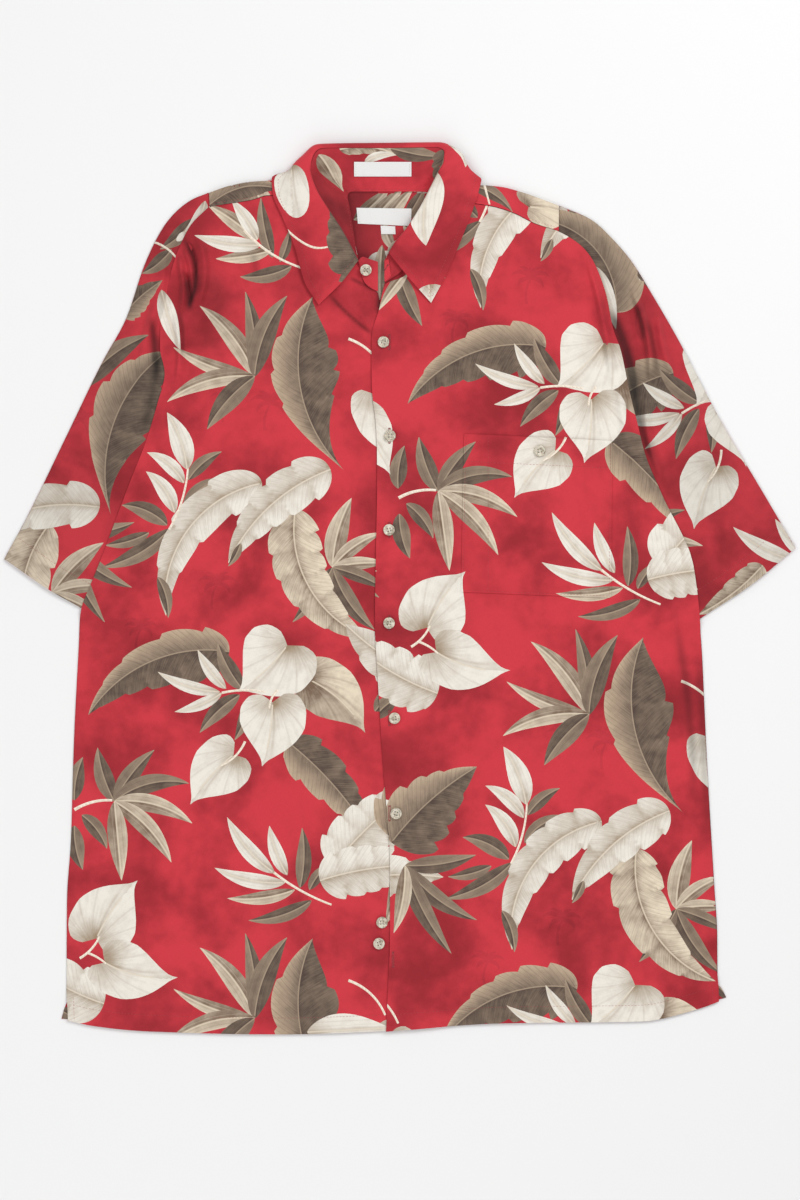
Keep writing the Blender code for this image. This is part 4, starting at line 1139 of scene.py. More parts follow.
@dataclass
class Mosaic:
    """Triangles of a piece of cloth, cut along its outline and round each printed leaf."""

    points: Array
    triangles: Array
    leaf: Array
    number: dict[int, int]

    @classmethod
    def cut(cls, outline: Array, motifs: Sequence[Motif], loose: Array) -> "Mosaic":
        """Cuts one.

        Args:
            outline: The piece's edge, anticlockwise.
            motifs: Its leaves, in the order they lie.
            loose: More points inside it, which carry its form.

        Returns:
            The mosaic. A triangle's leaf is its motif's place in the list and one more, or 0.
        """
        loops = [outline] + [motif.outline() for motif in motifs]
        inner = [motif.inner_points() for motif in motifs]
        loose = np.concatenate([loose, *inner]) if inner else loose
        loose = loose[inside(loose, outline)]
        ribs = [motif.rib() for motif in motifs]
        points = np.concatenate([*loops, *ribs, loose])
        starts = np.cumsum([0] + [len(loop) for loop in loops + ribs])
        spans = [list(range(a, b)) for a, b in zip(starts[:-1], starts[1:])]
        rings, chains = spans[:len(loops)], spans[len(loops):]
        edges = [pair for chain in chains for pair in zip(chain[:-1], chain[1:])]
        found = delaunay_2d_cdt([Vector(p) for p in points.tolist()], edges, rings, 1, 1e-3, True)
        plan = np.array([tuple(p) for p in found[0]])
        triangles, leaf = [], []
        for face, owners in zip(found[2], found[5]):
            if 0 in owners and len(face) == 3:
                triangles.append(face)
                leaf.append(max(owners))
        triangles, leaf = np.array(triangles), np.array(leaf)
        a, b, c = (plan[triangles[:, k]] for k in range(3))
        size = (b - a)[:, 0] * (c - a)[:, 1] - (b - a)[:, 1] * (c - a)[:, 0]
        triangles[size < 0] = triangles[size < 0][:, ::-1]
        used = np.unique(triangles)
        renumber = np.full(len(plan), -1)
        renumber[used] = np.arange(len(used))
        number = {old: int(renumber[new]) for new, olds in enumerate(found[3]) for old in olds}
        return cls(plan[used], renumber[triangles], leaf, number)

    def rim(self) -> tuple[list[int], list[int]]:
        """The longest closed chain of edge points, anticlockwise, and the leaf inside each step."""
        edges: dict[tuple[int, int], int] = {}
        for (a, b, c), leaf in zip(self.triangles.tolist(), self.leaf.tolist()):
            for edge in ((a, b), (b, c), (c, a)):
                if edges.pop((edge[1], edge[0]), None) is None:
                    edges[edge] = leaf
        after = {a: (b, leaf) for (a, b), leaf in edges.items()}
        best: tuple[list[int], list[int]] = ([], [])
        while after:
            start = at = next(iter(after))
            chain, leaves = [], []
            while at in after:
                step, leaf = after.pop(at)
                chain.append(at)
                leaves.append(leaf)
                at = step
            if at == start and len(chain) > len(best[0]):
                best = (chain, leaves)
        return best


@dataclass
class Sheet:
    """One thickness of printed cloth: its cut with the print side up, and how it lies.

    lining None leaves the wrong side plain. Motifs, or none of them, print that side as well. painted_shade
    gives the share of the colour darkened as painted shade on the lining, or on the print of a sheet without
    one.
    """

    cut: Array
    lie: Callable[[Array], Array]
    motifs: Sequence[Motif]
    lining: Sequence[Motif] | None = None
    bands: Sequence[Band] = ()
    loose: Sequence[Array] = ()
    thickness: float = CLOTH
    pitch: float = 5.0
    seed: float = 0.0
    painted_shade: Callable[[Array], Array] | None = None

    def __post_init__(self) -> None:
        """Turns the cut to run anticlockwise."""
        self.cut = anticlockwise(self.cut)

    def area(self) -> float:
        """Flat area in square metres."""
        return area_of(self.cut) * MM * MM

    def grid(self, pitch: float) -> Array:
        """Points in staggered rows over the cut, a little in from its edge."""
        low, high = self.cut.min(axis=0), self.cut.max(axis=0)
        x, y = np.meshgrid(np.arange(low[0], high[0], pitch), np.arange(low[1], high[1], pitch * 0.87))
        x = x + (np.arange(len(x)) % 2 * pitch / 2)[:, None]
        points = np.stack([x.ravel(), y.ravel()], axis=-1)
        points = points[inside(points, self.cut)]
        return points[from_line(points, self.cut)[0] > pitch * 0.35]

    def face(self, flat: Array) -> tuple[Array, Array]:
        """Places and normals of the cloth's middle, with its sewn edges, at points of the cut."""
        nudge = 0.2
        spots = [flat, flat + (nudge, 0), flat + (0, nudge)]
        plain = [self.lie(spot) for spot in spots]
        normal = unit(np.cross(plain[1] - plain[0], plain[2] - plain[0]))
        lifts = [sum((band.relief(spot) for band in self.bands), np.zeros(len(flat))) for spot in spots]
        here, beside_it, above = (p + lift[:, None] * normal for p, lift in zip(plain, lifts))
        return here, unit(np.cross(beside_it - here, above - here))

    def on_face(self, flat: Array, lift: float = 0.0) -> tuple[Array, Array]:
        """Places and normals on the printed side, moved out by `lift`."""
        places, normals = self.face(flat)
        return places + normals * (self.thickness / 2 + lift), normals


@dataclass
class Skin:
    """Collects the faces of one piece of cloth, from one or more sheets."""

    palette: Palette
    places: list[Array] = field(default_factory=list)
    flats: list[Array] = field(default_factory=list)
    faces: list[Array] = field(default_factory=list)
    inks: list[Array] = field(default_factory=list)
    lines: list[Array] = field(default_factory=list)
    normals: list[Array] = field(default_factory=list)
    painted_shades: list[Array] = field(default_factory=list)

    def add(self, sheet: Sheet) -> None:
        """Adds a sheet as a thin closed shell."""
        outline = sheet.cut
        if sheet.lining:
            under = Mosaic.cut(outline, sheet.lining, np.zeros((0, 2)))
            outline = under.points[under.rim()[0]]
        loose = [sheet.grid(sheet.pitch), *sheet.loose, *(band.points() for band in sheet.bands)]
        top = Mosaic.cut(outline, sheet.motifs, np.concatenate(loose))
        chain, edge_leaf = top.rim()
        ring = top.points[chain]
        coarse = sheet.grid(sheet.pitch * (1.0 if sheet.lining or sheet.thickness > CLOTH else 3.0))
        low = Mosaic.cut(ring, sheet.lining or [], np.concatenate([coarse, *sheet.loose]))
        partner = [low.number[k] for k in range(len(chain))]

        places, normals = sheet.face(top.points)
        under_places, under_normals = sheet.face(low.points)
        half = sheet.thickness / 2
        base = sum(len(p) for p in self.places)
        self.places += [places + half * normals, under_places - half * under_normals]
        offset_place = np.array((311.0 * sheet.seed, 173.0 * sheet.seed))
        self.flats += [top.points + offset_place, low.points + offset_place + (1000.0, 0.0)]
        # Painted shade, stored for each point of the side that shows.
        painted_shades = [np.zeros(len(top.points)), np.zeros(len(low.points))]
        if sheet.painted_shade is not None:
            shown = 1 if sheet.lining else 0
            painted_shades[shown] = sheet.painted_shade((top.points, low.points)[shown])
        self.painted_shades += painted_shades
        split = len(places)
        inside_ink = len(self.palette.inks) if sheet.lining is None else Ink.GROUND.value

        self._dress(top, sheet.motifs, base, normals, 1, Ink.GROUND.value)
        self._dress(low, sheet.lining or [], base + split, under_normals, -1, inside_ink)

        a, b = np.array(chain), np.roll(chain, -1)
        c, d = np.array(partner), np.roll(partner, -1)
        rim = np.concatenate([np.stack([a, c + split, d + split], 1), np.stack([a, d + split, b], 1)])
        world = np.concatenate(self.places[-2:])
        corner = world[rim]
        flat = np.concatenate([top.points, low.points])[rim]
        facing = unit(np.cross(corner[:, 1] - corner[:, 0], corner[:, 2] - corner[:, 0]))
        self.faces.append(rim + base)
        self.normals.append(np.repeat(facing[:, None], 3, axis=1))
        self._ink(np.array(edge_leaf * 2), sheet.motifs, flat, Ink.GROUND.value)

    def _dress(self, mosaic: Mosaic, motifs: Sequence[Motif], base: int, normals: Array, way: int,
               ground: int) -> None:
        """Adds one side's triangles, facing up for way 1 and down for -1."""
        triangles = mosaic.triangles if way > 0 else mosaic.triangles[:, ::-1]
        self.faces.append(triangles + base)
        self.normals.append(way * normals[triangles])
        self._ink(mosaic.leaf, motifs, mosaic.points[triangles], ground)

    def _ink(self, leaf: Array, motifs: Sequence[Motif], flat: Array, ground: int) -> None:
        """Adds the ink of each face and the leaf lines at each of its corners."""
        inks = np.full(len(leaf), ground)
        lines = np.zeros((len(leaf), 3, 3))
        for k in np.unique(leaf[leaf > 0]):
            motif, mine = motifs[k - 1], leaf == k
            inks[mine] = motif.ink.value
            corners = flat[mine]
            middles = np.repeat(corners.mean(axis=1, keepdims=True), 3, axis=1)
            shape = corners.shape[:2]
            lines[mine] = motif.lines(corners.reshape(-1, 2), middles.reshape(-1, 2)).reshape(*shape, 3)
        self.inks.append(inks)
        self.lines.append(lines)

    def build(self, name: str) -> bpy.types.Object:
        """Makes the mesh object.

        Args:
            name: The piece's name.

        Returns:
            The object, which stands for the solid of nearly the same name.
        """
        faces, normals = np.concatenate(self.faces), np.concatenate(self.normals)
        surfaces = (*self.palette.inks, self.palette.inside)
        mesh = new_mesh(name, np.concatenate(self.places), faces.tolist(), *surfaces)
        mesh.polygons.foreach_set("material_index", np.concatenate(self.inks).astype(np.int32))
        store(mesh, PLACE, "POINT", at_height(np.concatenate(self.flats), 0.0))
        store(mesh, PAINTED_SHADE, "POINT", np.concatenate(self.painted_shades))
        store(mesh, LINES, "CORNER", np.concatenate(self.lines))
        mesh.shade_smooth()
        mesh.normals_split_custom_set(normals.reshape(-1, 3).tolist())
        return placed(name, mesh)


def stand_for(piece: bpy.types.Object, node: str) -> None:
    """Ties a piece to the body and hides the solid that it stands for."""
    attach(piece, "root")
    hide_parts(node)


def make_piece(palette: Palette, name: str, node: str, sheets: Sequence[Sheet]) -> None:
    """Makes a piece of cloth, ties it to the body, hides its solid and logs the size of its cut.

    Args:
        palette: The cloth's inks.
        name: The piece's name.
        node: The solid that it stands for.
        sheets: Its thicknesses of cloth. Two of them are a flattened tube, cut twice as wide.
    """
    skin = Skin(palette)
    for sheet in sheets:
        skin.add(sheet)
    piece = skin.build(name)
    stand_for(piece, node)
    size = np.ptp(sheets[0].cut, axis=0) * (len(sheets), 1)
    width, length = (size * MM).tolist()
    area = min(sum(sheet.area() for sheet in sheets), width * length)
    log.info("%s: %d faces, cut %.0f by %.0f mm", piece.name, len(piece.data.polygons), *size)


# ---------------------------------------------------------------- sewing

@dataclass
class Sewing:
    """Rows of lockstitches on one piece: short spindles of thread that dip in at both ends."""

    name: str
    surface: bpy.types.Material
    stitch: float = 2.4
    gap: float = 0.7
    half_width: float = 0.14
    height: float = 0.18
    points: list[Array] = field(default_factory=list)

    def row(self, sheet: Sheet, line: Array) -> None:
        """Sews along a line of the cut, where it lies on the cloth."""
        line = line[inside(line, sheet.cut)]
        if len(line) < 2:
            return
        places, normals = sheet.on_face(spaced(line, 1.0))
        run = run_of(places)
        count = int(run[-1] / (self.stitch + self.gap))
        starts = (np.arange(count) + 0.2) * (self.stitch + self.gap)
        ends = starts + self.stitch
        up = unit(read_at(normals, run, (starts + ends) / 2))
        self.bars(read_at(places, run, starts), read_at(places, run, ends), up)

    def beside(self, sheet: Sheet, line: Array, distance: float, pitch: float = 2.0) -> None:
        """Sews a row so far from a line, on whichever side of it the cloth is."""
        for side in (-1, 1):
            self.row(sheet, offset(spaced(line, pitch), side * distance))

    def bars(self, starts: Array, ends: Array, up: Array) -> None:
        """Single threads from each start to each end."""
        self.points.append(self._spindles(starts, ends, up))

    def _spindles(self, start: Array, end: Array, up: Array) -> Array:
        """Ten points for each stitch: a tip, two rings of four and a tip."""
        way = end - start
        aside = unit(np.cross(way, up)) * self.half_width
        lift = up * self.height
        rings = []
        for t in (0.22, 0.78):
            middle = start + t * way
            rings += [middle - aside, middle + lift * 0.9 - aside * 0.5, middle + lift * 0.9 + aside * 0.5,
                      middle + aside]
        return np.stack([start - lift * 0.4, *rings, end - lift * 0.4], axis=1)

    def build(self) -> None:
        """Makes the mesh object."""
        points = np.concatenate(self.points)
        ring, after = (1, 2, 3, 4), (2, 3, 4, 1)
        pattern = [(0, b, a) for a, b in zip(ring, after)]
        pattern += [(a, b, b + 4, a + 4) for a, b in zip(ring, after)]
        pattern += [(a + 4, b + 4, 9) for a, b in zip(ring, after)]
        faces = [[10 * k + i for i in face] for k in range(len(points)) for face in pattern]
        mesh = new_mesh(self.name, points.reshape(-1, 3), faces, self.surface)
        mesh.shade_smooth()
        made = placed(self.name, mesh)
        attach(made, "root")
        log.info("%s: %d stitches", self.name, len(points))


# ---------------------------------------------------------------- the shirt's pieces

@dataclass
class Front:
    """One front panel, from the hem to the yoke seam, lying over the back and the sleeve.

    Its creases and swells set in over the given distances from its side, its edge and its top.
    """

    name: str
    rows: Sequence[Sequence[float]]
    hem: Curve
    seam: Curve
    over: bool
    creases: Sequence[Crease]
    placing: Placing
    hem_turn: float = 15.5
    facing: float = 36.0
    under_facing: float = 20.0
    vent_turn: float = 6.0
    creases_in: tuple[float, ...] = (8.0, 14.0, 12.0)
    swells_in: tuple[float, ...] = (30.0, 50.0, 30.0)
    seed: float = 1.0
    BUTTONHOLES = (
        (-10.0, 233.7), (-10.0, 144.9), (-10.0, 55.6), (-10.0, -32.8), (-10.0, -123.0), (-10.0, -213.3),
        (-6.6, -352.0))

    def __post_init__(self) -> None:
        """Lays out the lines that the panel's form follows."""
        places = np.linspace(0, len(self.rows) - 1, 110)
        both = rows_of(self.rows, places)
        self.side, self.edge = both[:, :2].copy(), both[:, 2:]
        self.side[:, 0] += np.sign(self.edge[0, 0] - self.side[0, 0]) * CLOTH / 2
        self.foot = along(self.hem, 70)
        self.foot[[0, -1]] = self.side[0], self.edge[0]
        t = np.linspace(0, 1, 50)[:, None]
        self.top = (1 - t) * self.side[-1] + t * self.edge[-1] + bow(along(self.seam, 50))

    def outline(self) -> Array:
        """The panel's edge on the cut."""
        return loop_of((self.foot, self.edge, self.top[::-1], self.side[::-1]))

    def height(self, plan: Array) -> Array:
        """Height of the cloth's middle at plan points."""
        from_side, at_side = from_line(plan, self.side)
        from_edge, at_edge = from_line(plan, self.edge)
        from_top, _ = from_line(plan, self.top)
        at_sleeve = eased((at_side[:, 1] - self.rows[ARMPIT_ROW][1] + BELOW_ARMPIT) / RISE_OVER)
        at_neck = eased((at_edge[:, 1] - NECK_START_Y) / RISE_OVER)
        lift = near(from_side, *LIFT_AT_ARMHOLE) * at_sleeve * (FRONT_OVER_SLEEVE - FRONT_REST)
        lift = np.maximum(lift, near(from_top, *LIFT_AT_SEAM) * (SHOULDER_TOP - FRONT_REST))
        lift = np.maximum(lift, near(from_edge, *LIFT_AT_NECK) * at_neck * (SHOULDER_TOP - FRONT_REST))
        if self.over:
            lift_front = near(from_edge, *LIFT_AT_OVERLAP) * (FRONT_OVER_FRONT - FRONT_REST)
            lift = np.maximum(lift, lift_front * (1 - 0.2 * at_neck))
        edges = (from_side, from_edge, from_top)
        rises = set_in(edges, self.creases_in) * sum(crease.rise(plan) for crease in self.creases)
        swells = set_in(edges, self.swells_in) * (ripple(plan, self.seed) + 0.25)
        height = FRONT_REST + lift + rises + swells
        rolled = (1 - at_sleeve) * eased((at_side[:, 1] - self.rows[VENT_ROW][1] + 1) / 10)
        turn = np.clip(1 - from_side / ROLL, 0, 1)
        drop = 1 - np.sqrt(np.maximum(1 - turn**2, 0))
        return height - rolled * drop * (height - ROLLED_DOWN_TO)

    def lie(self, plan: Array) -> Array:
        """Places of the cloth's middle."""
        return at_height(plan, self.height(plan))

    def sheets(self, repeat: PrintRepeat) -> tuple[Sheet, ...]:
        """The panel, printed on its upper side."""
        outline = self.outline()
        vent = self.side[:8]
        self.bands = [
            Band(self.foot, self.hem_turn, self.hem_turn + PAST_STITCH),
            Band(self.edge, None, self.facing if self.over else self.under_facing, rise=0.18),
            Band(vent, self.vent_turn, self.vent_turn + PAST_STITCH, rise=0.2)]
        roll = beside(self.side, ROLL_ROWS, 3.0)
        edge = beside(self.edge, (0.8, 2.0), 3.0)
        loose = [roll, edge, *(crease.points() for crease in self.creases)]
        motifs = repeat.over(outline, self.placing)
        # The panel's colour carries the painted shade of its folds.
        return (Sheet(outline, self.lie, motifs, bands=self.bands, loose=loose, seed=self.seed,
                      painted_shade=lambda plan: fold_painted_shade(self.creases, plan)),)

    def sew(self, sewing: Sewing, sheet: Sheet) -> None:
        """Sews the hem and the side vent, and the buttonholes of the front that lies over."""
        for band in self.bands:
            if band.stitch is not None:
                sewing.beside(sheet, band.line, band.stitch)
        for centre in self.BUTTONHOLES if self.over else ():
            buttonhole(sewing, sheet, centre, length=14.0, turn=90.0)


@dataclass
class Back:
    """The back panel, its print down on the surface."""

    name: str = "back_panel"
    placing: Placing = Placing(0.0, (0.0, 0.0), (35.0, 60.0))
    hem_turn: float = 15.5
    seam_stitch: float = 2.0
    creases: Sequence[Crease] = folds(
        ((-210, 120), (-150, -60), 24, 0.7, 0.05, 0.3),
        ((150, 200), (110, 20), 18, 0.6, -0.06, -0.2),
        ((-60, -120), (-90, -330), 26, 0.7, 0.04, 0.2),
        ((180, -140), (205, -330), 20, 0.6, 0.03),
        ((20, 90), (40, -80), 15, 0.5, -0.05, 0.3),
        ((-240, -180), (-215, -300), 14, 0.5, 0.02),
    )

    def outline(self) -> Array:
        """The panel's edge, as it lies."""
        places, sides = np.linspace(2, BACK_TOP_ROW, 40), []
        for rows, hole, end, vent, underarm, way in (
            (FRONT_RIGHT_ROWS, ARMHOLE_RIGHT, YOKE_END_RIGHT, BACK_VENT_RIGHT, UNDERARM_RIGHT, 1),
            (FRONT_LEFT_ROWS, ARMHOLE_LEFT, YOKE_END_LEFT, BACK_VENT_LEFT, UNDERARM_LEFT, -1),
        ):
            body = rows_of(rows, places)[:, :2] + (way * BACK_INSET, 0)
            arm = along(hole[hole.index(end):], 70)[::-1] + (way * SEAM, 0)
            sides.append(np.concatenate([vent, body, [underarm], arm]))
        right, left = sides
        self.hem = along(BACK_HEM, 90)
        self.seam = np.stack([right[-1], left[-1]])
        return loop_of((self.hem, left, self.seam[::-1], right[::-1]), 3.5)

    def lie(self, flat: Array) -> Array:
        """Places of the cloth's middle, from the cut with its print side up."""
        plan = flat * (-1, 1)
        return at_height(plan, FLOOR_LAYER + sum(crease.rise(plan) for crease in self.creases))

    def sheets(self, repeat: PrintRepeat) -> tuple[Sheet, ...]:
        """The panel, printed on its lower side."""
        cut = (self.outline() * (-1, 1))[::-1]
        hem = self.hem * (-1, 1)
        self.bands = [Band(hem, self.hem_turn, self.hem_turn + PAST_STITCH, rise=0.0, pucker=0.05)]
        turned = leaves((B, TAUPE, (326, -399), (294, -415), 13), (B, TAUPE, (-314, -390), (-297, -372), 11))
        motifs = repeat.over(cut, self.placing)
        return (Sheet(cut, self.lie, motifs, turned, self.bands, pitch=7.0, seed=2.0),)

    def sew(self, sewing: Sewing, sheet: Sheet) -> None:
        """Sews the hem, and the yoke seam's felled edge."""
        sewing.beside(sheet, self.bands[0].line, self.hem_turn)
        sewing.beside(sheet, self.seam * (-1, 1), self.seam_stitch)


@dataclass
class Yoke:
    """The back yoke: down on the surface, then over both shoulders to the front seams."""

    name: str = "back_yoke"
    placing: Placing = Placing(0.0, (-138.0, 201.0), (150.0, 372.0), clear=((-130, 380, 70),), extra=leaves(
        (B, TAUPE, (-68, 385), (-107, 402), 14, 0.06),
        (S, STEM, (-80, 384), (-85, 402), 2.2),
        (H, TAN, (-122, 388), (-166, 368), 34, 0.05),
        (P, TAUPE, (190, 389), (112, 397), 34, 0.03, 1),
    ))
    lining: Sequence[Motif] = ()
    edge_stitch: float = 2.2
    lap: float = 1.2
    side_lap: float = 1.4
    neck_clear: float = 2.6
    # Painted shade inside the neck: its largest share, where it starts across the cut and how far it takes to
    # grow.
    neck_painted_shade: float = 0.58
    neck_painted_shade_from: float = -22.0
    neck_painted_shade_over: float = 75.0
    swell: float = 0.3
    seed: float = 3.0

    def __post_init__(self) -> None:
        """Finds the shoulder folds, and where the flat part ends below them."""
        self.radius = (SHOULDER_TOP + CLOTH + 0.1 - FLOOR_LAYER) / 2
        fold = np.concatenate([along(SHOULDER_RIGHT, 60), along(SHOULDER_LEFT, 60)])
        seam = np.concatenate([along(YOKE_SEAM_RIGHT, 60), along(YOKE_SEAM_LEFT, 60)])
        self.fold, self.seam = fold, seam

    def foot(self, x: Array) -> Array:
        """How far up the yoke lies flat, at places across it."""
        return np.interp(x, self.fold[:, 0], self.fold[:, 1]) - (self.radius + CLOTH / 2)

    def unrolled(self, line: Array) -> Array:
        """Points of the shoulder's front part on the cut, with x as it lies."""
        foot = self.foot(line[:, 0])
        return np.stack([line[:, 0], 2 * foot + math.pi * self.radius - line[:, 1]], axis=-1)

    def lie(self, flat: Array) -> Array:
        """Places of the cloth's middle, from the cut with its print side up."""
        x, s = -flat[:, 0], flat[:, 1]
        foot, r = self.foot(x), self.radius
        past = s - foot
        a = np.clip(past / r, 0, math.pi) - math.pi / 2
        y = foot + np.where(past > 0, r * np.cos(a), past)
        y = np.where(past > math.pi * r, foot - (past - math.pi * r), y)
        z = FLOOR_LAYER + r * (1 + np.sin(a))
        plan = np.stack([x, s], axis=-1)
        z = z + self.swell * near(past, -12, 12) * ripple(plan, self.seed, 0.6) ** 2 + self.slope(x, past)
        return np.stack([x, y, z], axis=-1)

    @staticmethod
    def slope(x: Array, past: Array) -> Array:
        """Small swells where the shoulder rolls over."""
        return eased((past - 2) / 4) * 0.25 * np.sin(x / 13 + 1.5 * np.sin(x / 31))

    def painted_shade(self, flat: Array) -> Array:
        """Painted shade inside the neck, darker towards the right side of the collar."""
        return self.neck_painted_shade * eased((flat[:, 0] - self.neck_painted_shade_from) / self.neck_painted_shade_over)

    def sheets(self, repeat: PrintRepeat) -> tuple[Sheet, ...]:
        """The yoke, printed on both sides."""
        arm_right = along(ARMHOLE_RIGHT[:6], 50)[::-1] + (SEAM, 0)
        arm_left = along(ARMHOLE_LEFT[:5], 50)[::-1] - (SEAM, 0)
        arm_right[0, 1] = arm_left[0, 1] = YOKE_SEAM_BACK + SEAM
        rolled_right, rolled_left = (self.unrolled(part - (0, self.lap)) for part in np.split(self.seam, 2))
        rolled_right[0, 0] -= self.side_lap
        rolled_left[-1, 0] += self.side_lap
        neck = [(x, self.foot(x) + self.neck_clear) for x in (rolled_left[0, 0], rolled_right[-1, 0])]
        loop = np.concatenate([arm_left, rolled_left[::-1], neck, rolled_right[::-1], arm_right[::-1]])
        cut = (spaced(np.concatenate([loop, loop[:1]]), 3.0)[:-1] * (-1, 1))[::-1]
        roll = np.concatenate([
            np.stack([-self.fold[:, 0], self.foot(self.fold[:, 0]) + k * self.radius], axis=-1)
            for k in np.linspace(-0.4, math.pi + 0.4, 10)
        ])
        self.seams = [part * (-1, 1) for part in (rolled_right, rolled_left)]
        bands = [Band(seam, self.edge_stitch, width=5.0, rise=0.1, pucker=0.1) for seam in self.seams]
        motifs = repeat.over(cut, self.placing)
        # The lining inside the neck carries painted shade.
        return (Sheet(cut, self.lie, motifs, self.lining, bands, [roll], pitch=6.0, seed=self.seed,
                      painted_shade=self.painted_shade),)

    def sew(self, sewing: Sewing, sheet: Sheet) -> None:
        """Sews the edge of each front seam."""
        for seam in self.seams:
            sewing.beside(sheet, seam, self.edge_stitch)


@dataclass
class Sleeve:
    """A short sleeve: a flattened tube, folded along its top and under the arm.

    Its creases set in over the given distances from the armhole, the fold and the underarm.
    """

    name: str
    hole: Curve
    fold: Curve
    cuff: Curve
    creases: Sequence[Crease]
    placing: Placing
    hem_turn: float = 24.0
    seed: float = 4.0
    roll: float = 3.2
    # Painted shade over the whole upper layer, darkening it as though it sloped away from the light.
    shade: float = 0.16
    creases_in: tuple[float, ...] = (14.0, 12.0, 12.0)

    def __post_init__(self) -> None:
        """Lays out the sleeve's four edges."""
        away = np.sign(self.fold[0][0])
        self.arm = along(self.hole, 110) + (away * SEAM, 0)
        self.outer = along(self.fold, 90)
        self.outer[-1] = self.arm[0]
        self.opening = along(self.cuff, 40)
        self.under = spaced(np.stack([self.opening[-1], self.arm[-1]]), 4.0)

    def outline(self) -> Array:
        """The sleeve's edge, as it lies."""
        return loop_of((self.opening, self.under, self.arm[::-1], self.outer[::-1]))

    def heights(self, plan: Array) -> tuple[Array, Array]:
        """Heights of the upper and the lower layer's middles."""
        from_fold, _ = from_line(plan, self.outer)
        from_under, _ = from_line(plan, self.under)
        from_arm, _ = from_line(plan, self.arm)
        clear = eased((from_arm - SLEEVE_CLEAR[0]) / SLEEVE_CLEAR[1])
        crown = np.clip(np.minimum(from_fold, from_under) / 60, 0, 1) ** 0.5
        rises = sum(crease.rise(plan) for crease in self.creases)
        upper = SLEEVE_TOP + clear * crown * (SLEEVE_PUFF + ripple(plan, self.seed) + 0.2)
        upper = upper + set_in((from_arm, from_fold, from_under), self.creases_in) * rises
        lower = np.full(len(plan), FLOOR_LAYER)
        centre = (SLEEVE_TOP + FLOOR_LAYER) / 2
        turn = np.clip(1 - np.minimum(from_fold, from_under) / self.roll, 0, 1)
        open_up = np.sqrt(np.maximum(1 - turn**2, 0))
        return centre + (upper - centre) * open_up, centre - (centre - lower) * open_up

    def lie_upper(self, plan: Array) -> Array:
        """Places of the upper layer's middle."""
        return at_height(plan, self.heights(plan)[0])

    def lie_lower(self, flat: Array) -> Array:
        """Places of the lower layer's middle, from the cut with its print side up."""
        plan = flat * (-1, 1)
        return at_height(plan, self.heights(plan)[1])

    def sheets(self, repeat: PrintRepeat) -> tuple[Sheet, ...]:
        """The upper layer, printed above, and the lower one, printed below."""
        outline = self.outline()
        self.bands = [Band(self.opening, self.hem_turn, self.hem_turn + PAST_STITCH, rise=0.25)]
        loose = [beside(line, ROLL_ROWS, 3.0) for line in (self.outer, self.under)]
        creases = [crease.points() for crease in self.creases]
        # The upper layer's colour carries painted shade: the sleeve's share everywhere, and more in its
        # folds.
        upper = Sheet(outline, self.lie_upper, repeat.over(outline, self.placing), bands=self.bands,
                      loose=[*loose, *creases], seed=self.seed,
                      painted_shade=lambda plan: fold_painted_shade(self.creases, plan, self.shade))
        cut = (outline * (-1, 1))[::-1]
        x, y = self.placing.put
        placing = Placing(-self.placing.turn, self.placing.held, (-x, y))
        lower = Sheet(cut, self.lie_lower, repeat.over(cut, placing), loose=[p * (-1, 1) for p in loose],
                      pitch=7.0, seed=self.seed + 1)
        return upper, lower

    def sew(self, sewing: Sewing, sheet: Sheet) -> None:
        """Sews the cuff's hem."""
        sewing.beside(sheet, self.opening, self.hem_turn)


@dataclass
class Ribbon:
    """A curved strip of cloth given by sections, read by length along it and width across it."""

    sections: Callable[[Array], Array]
    last: float
    middle: int
    step: float = 1.5
    columns: int = 60

    def __post_init__(self) -> None:
        """Reads the sections at even steps along the strip."""
        places = np.linspace(0, self.last, 400)
        run = run_of(self.sections(places)[:, self.middle])
        count = int(run[-1] / self.step)
        rows = self.sections(np.interp(np.linspace(0, run[-1], count), run, places))
        self.step = run[-1] / (count - 1)
        self.rows = np.stack([evenly(row, self.columns) for row in rows])
        self.widths = np.array([run_of(row)[-1] for row in self.rows])
        self.length = run[-1]

    def width(self, u: Array) -> Array:
        """The strip's width at lengths u along it."""
        return np.interp(u, np.arange(len(self.widths)) * self.step, self.widths)

    def lie(self, flat: Array) -> Array:
        """Places of the cloth's middle."""
        r = flat[:, 0] / self.step
        c = flat[:, 1] / self.width(flat[:, 0]) * (self.columns - 1)
        i = np.clip(r.astype(int), 0, len(self.rows) - 2)
        j = np.clip(c.astype(int), 0, self.columns - 2)
        f, g = (r - i)[:, None], (c - j)[:, None]
        low = (1 - g) * self.rows[i, j] + g * self.rows[i, j + 1]
        high = (1 - g) * self.rows[i + 1, j] + g * self.rows[i + 1, j + 1]
        return (1 - f) * low + f * high

    def outline(self) -> Array:
        """The strip's edge on the cut."""
        u = np.arange(0, self.length, 3.0)
        u = np.append(u, self.length)
        far = np.stack([u, self.width(u)], axis=-1)
        ends = [np.linspace(0, self.width(np.array([k]))[0], 20)[1:-1] for k in (0.0, self.length)]
        right = np.stack([np.full(18, self.length), ends[1]], axis=-1)
        left = np.stack([np.zeros(18), ends[0][::-1]], axis=-1)
        near_edge = np.stack([u, np.zeros(len(u))], axis=-1)
        return np.concatenate([near_edge, right, far[::-1], left])

    def edge(self) -> Array:
        """The strip's free edge: up one end, along the far side and down the other end."""
        outline = self.outline()
        count = len(outline) - len(np.arange(0, self.length, 3.0)) - 1
        loop = np.roll(outline, count, axis=0)[:count]
        return np.concatenate([[(self.length, 0.0)], loop, [(0.0, 0.0)]])


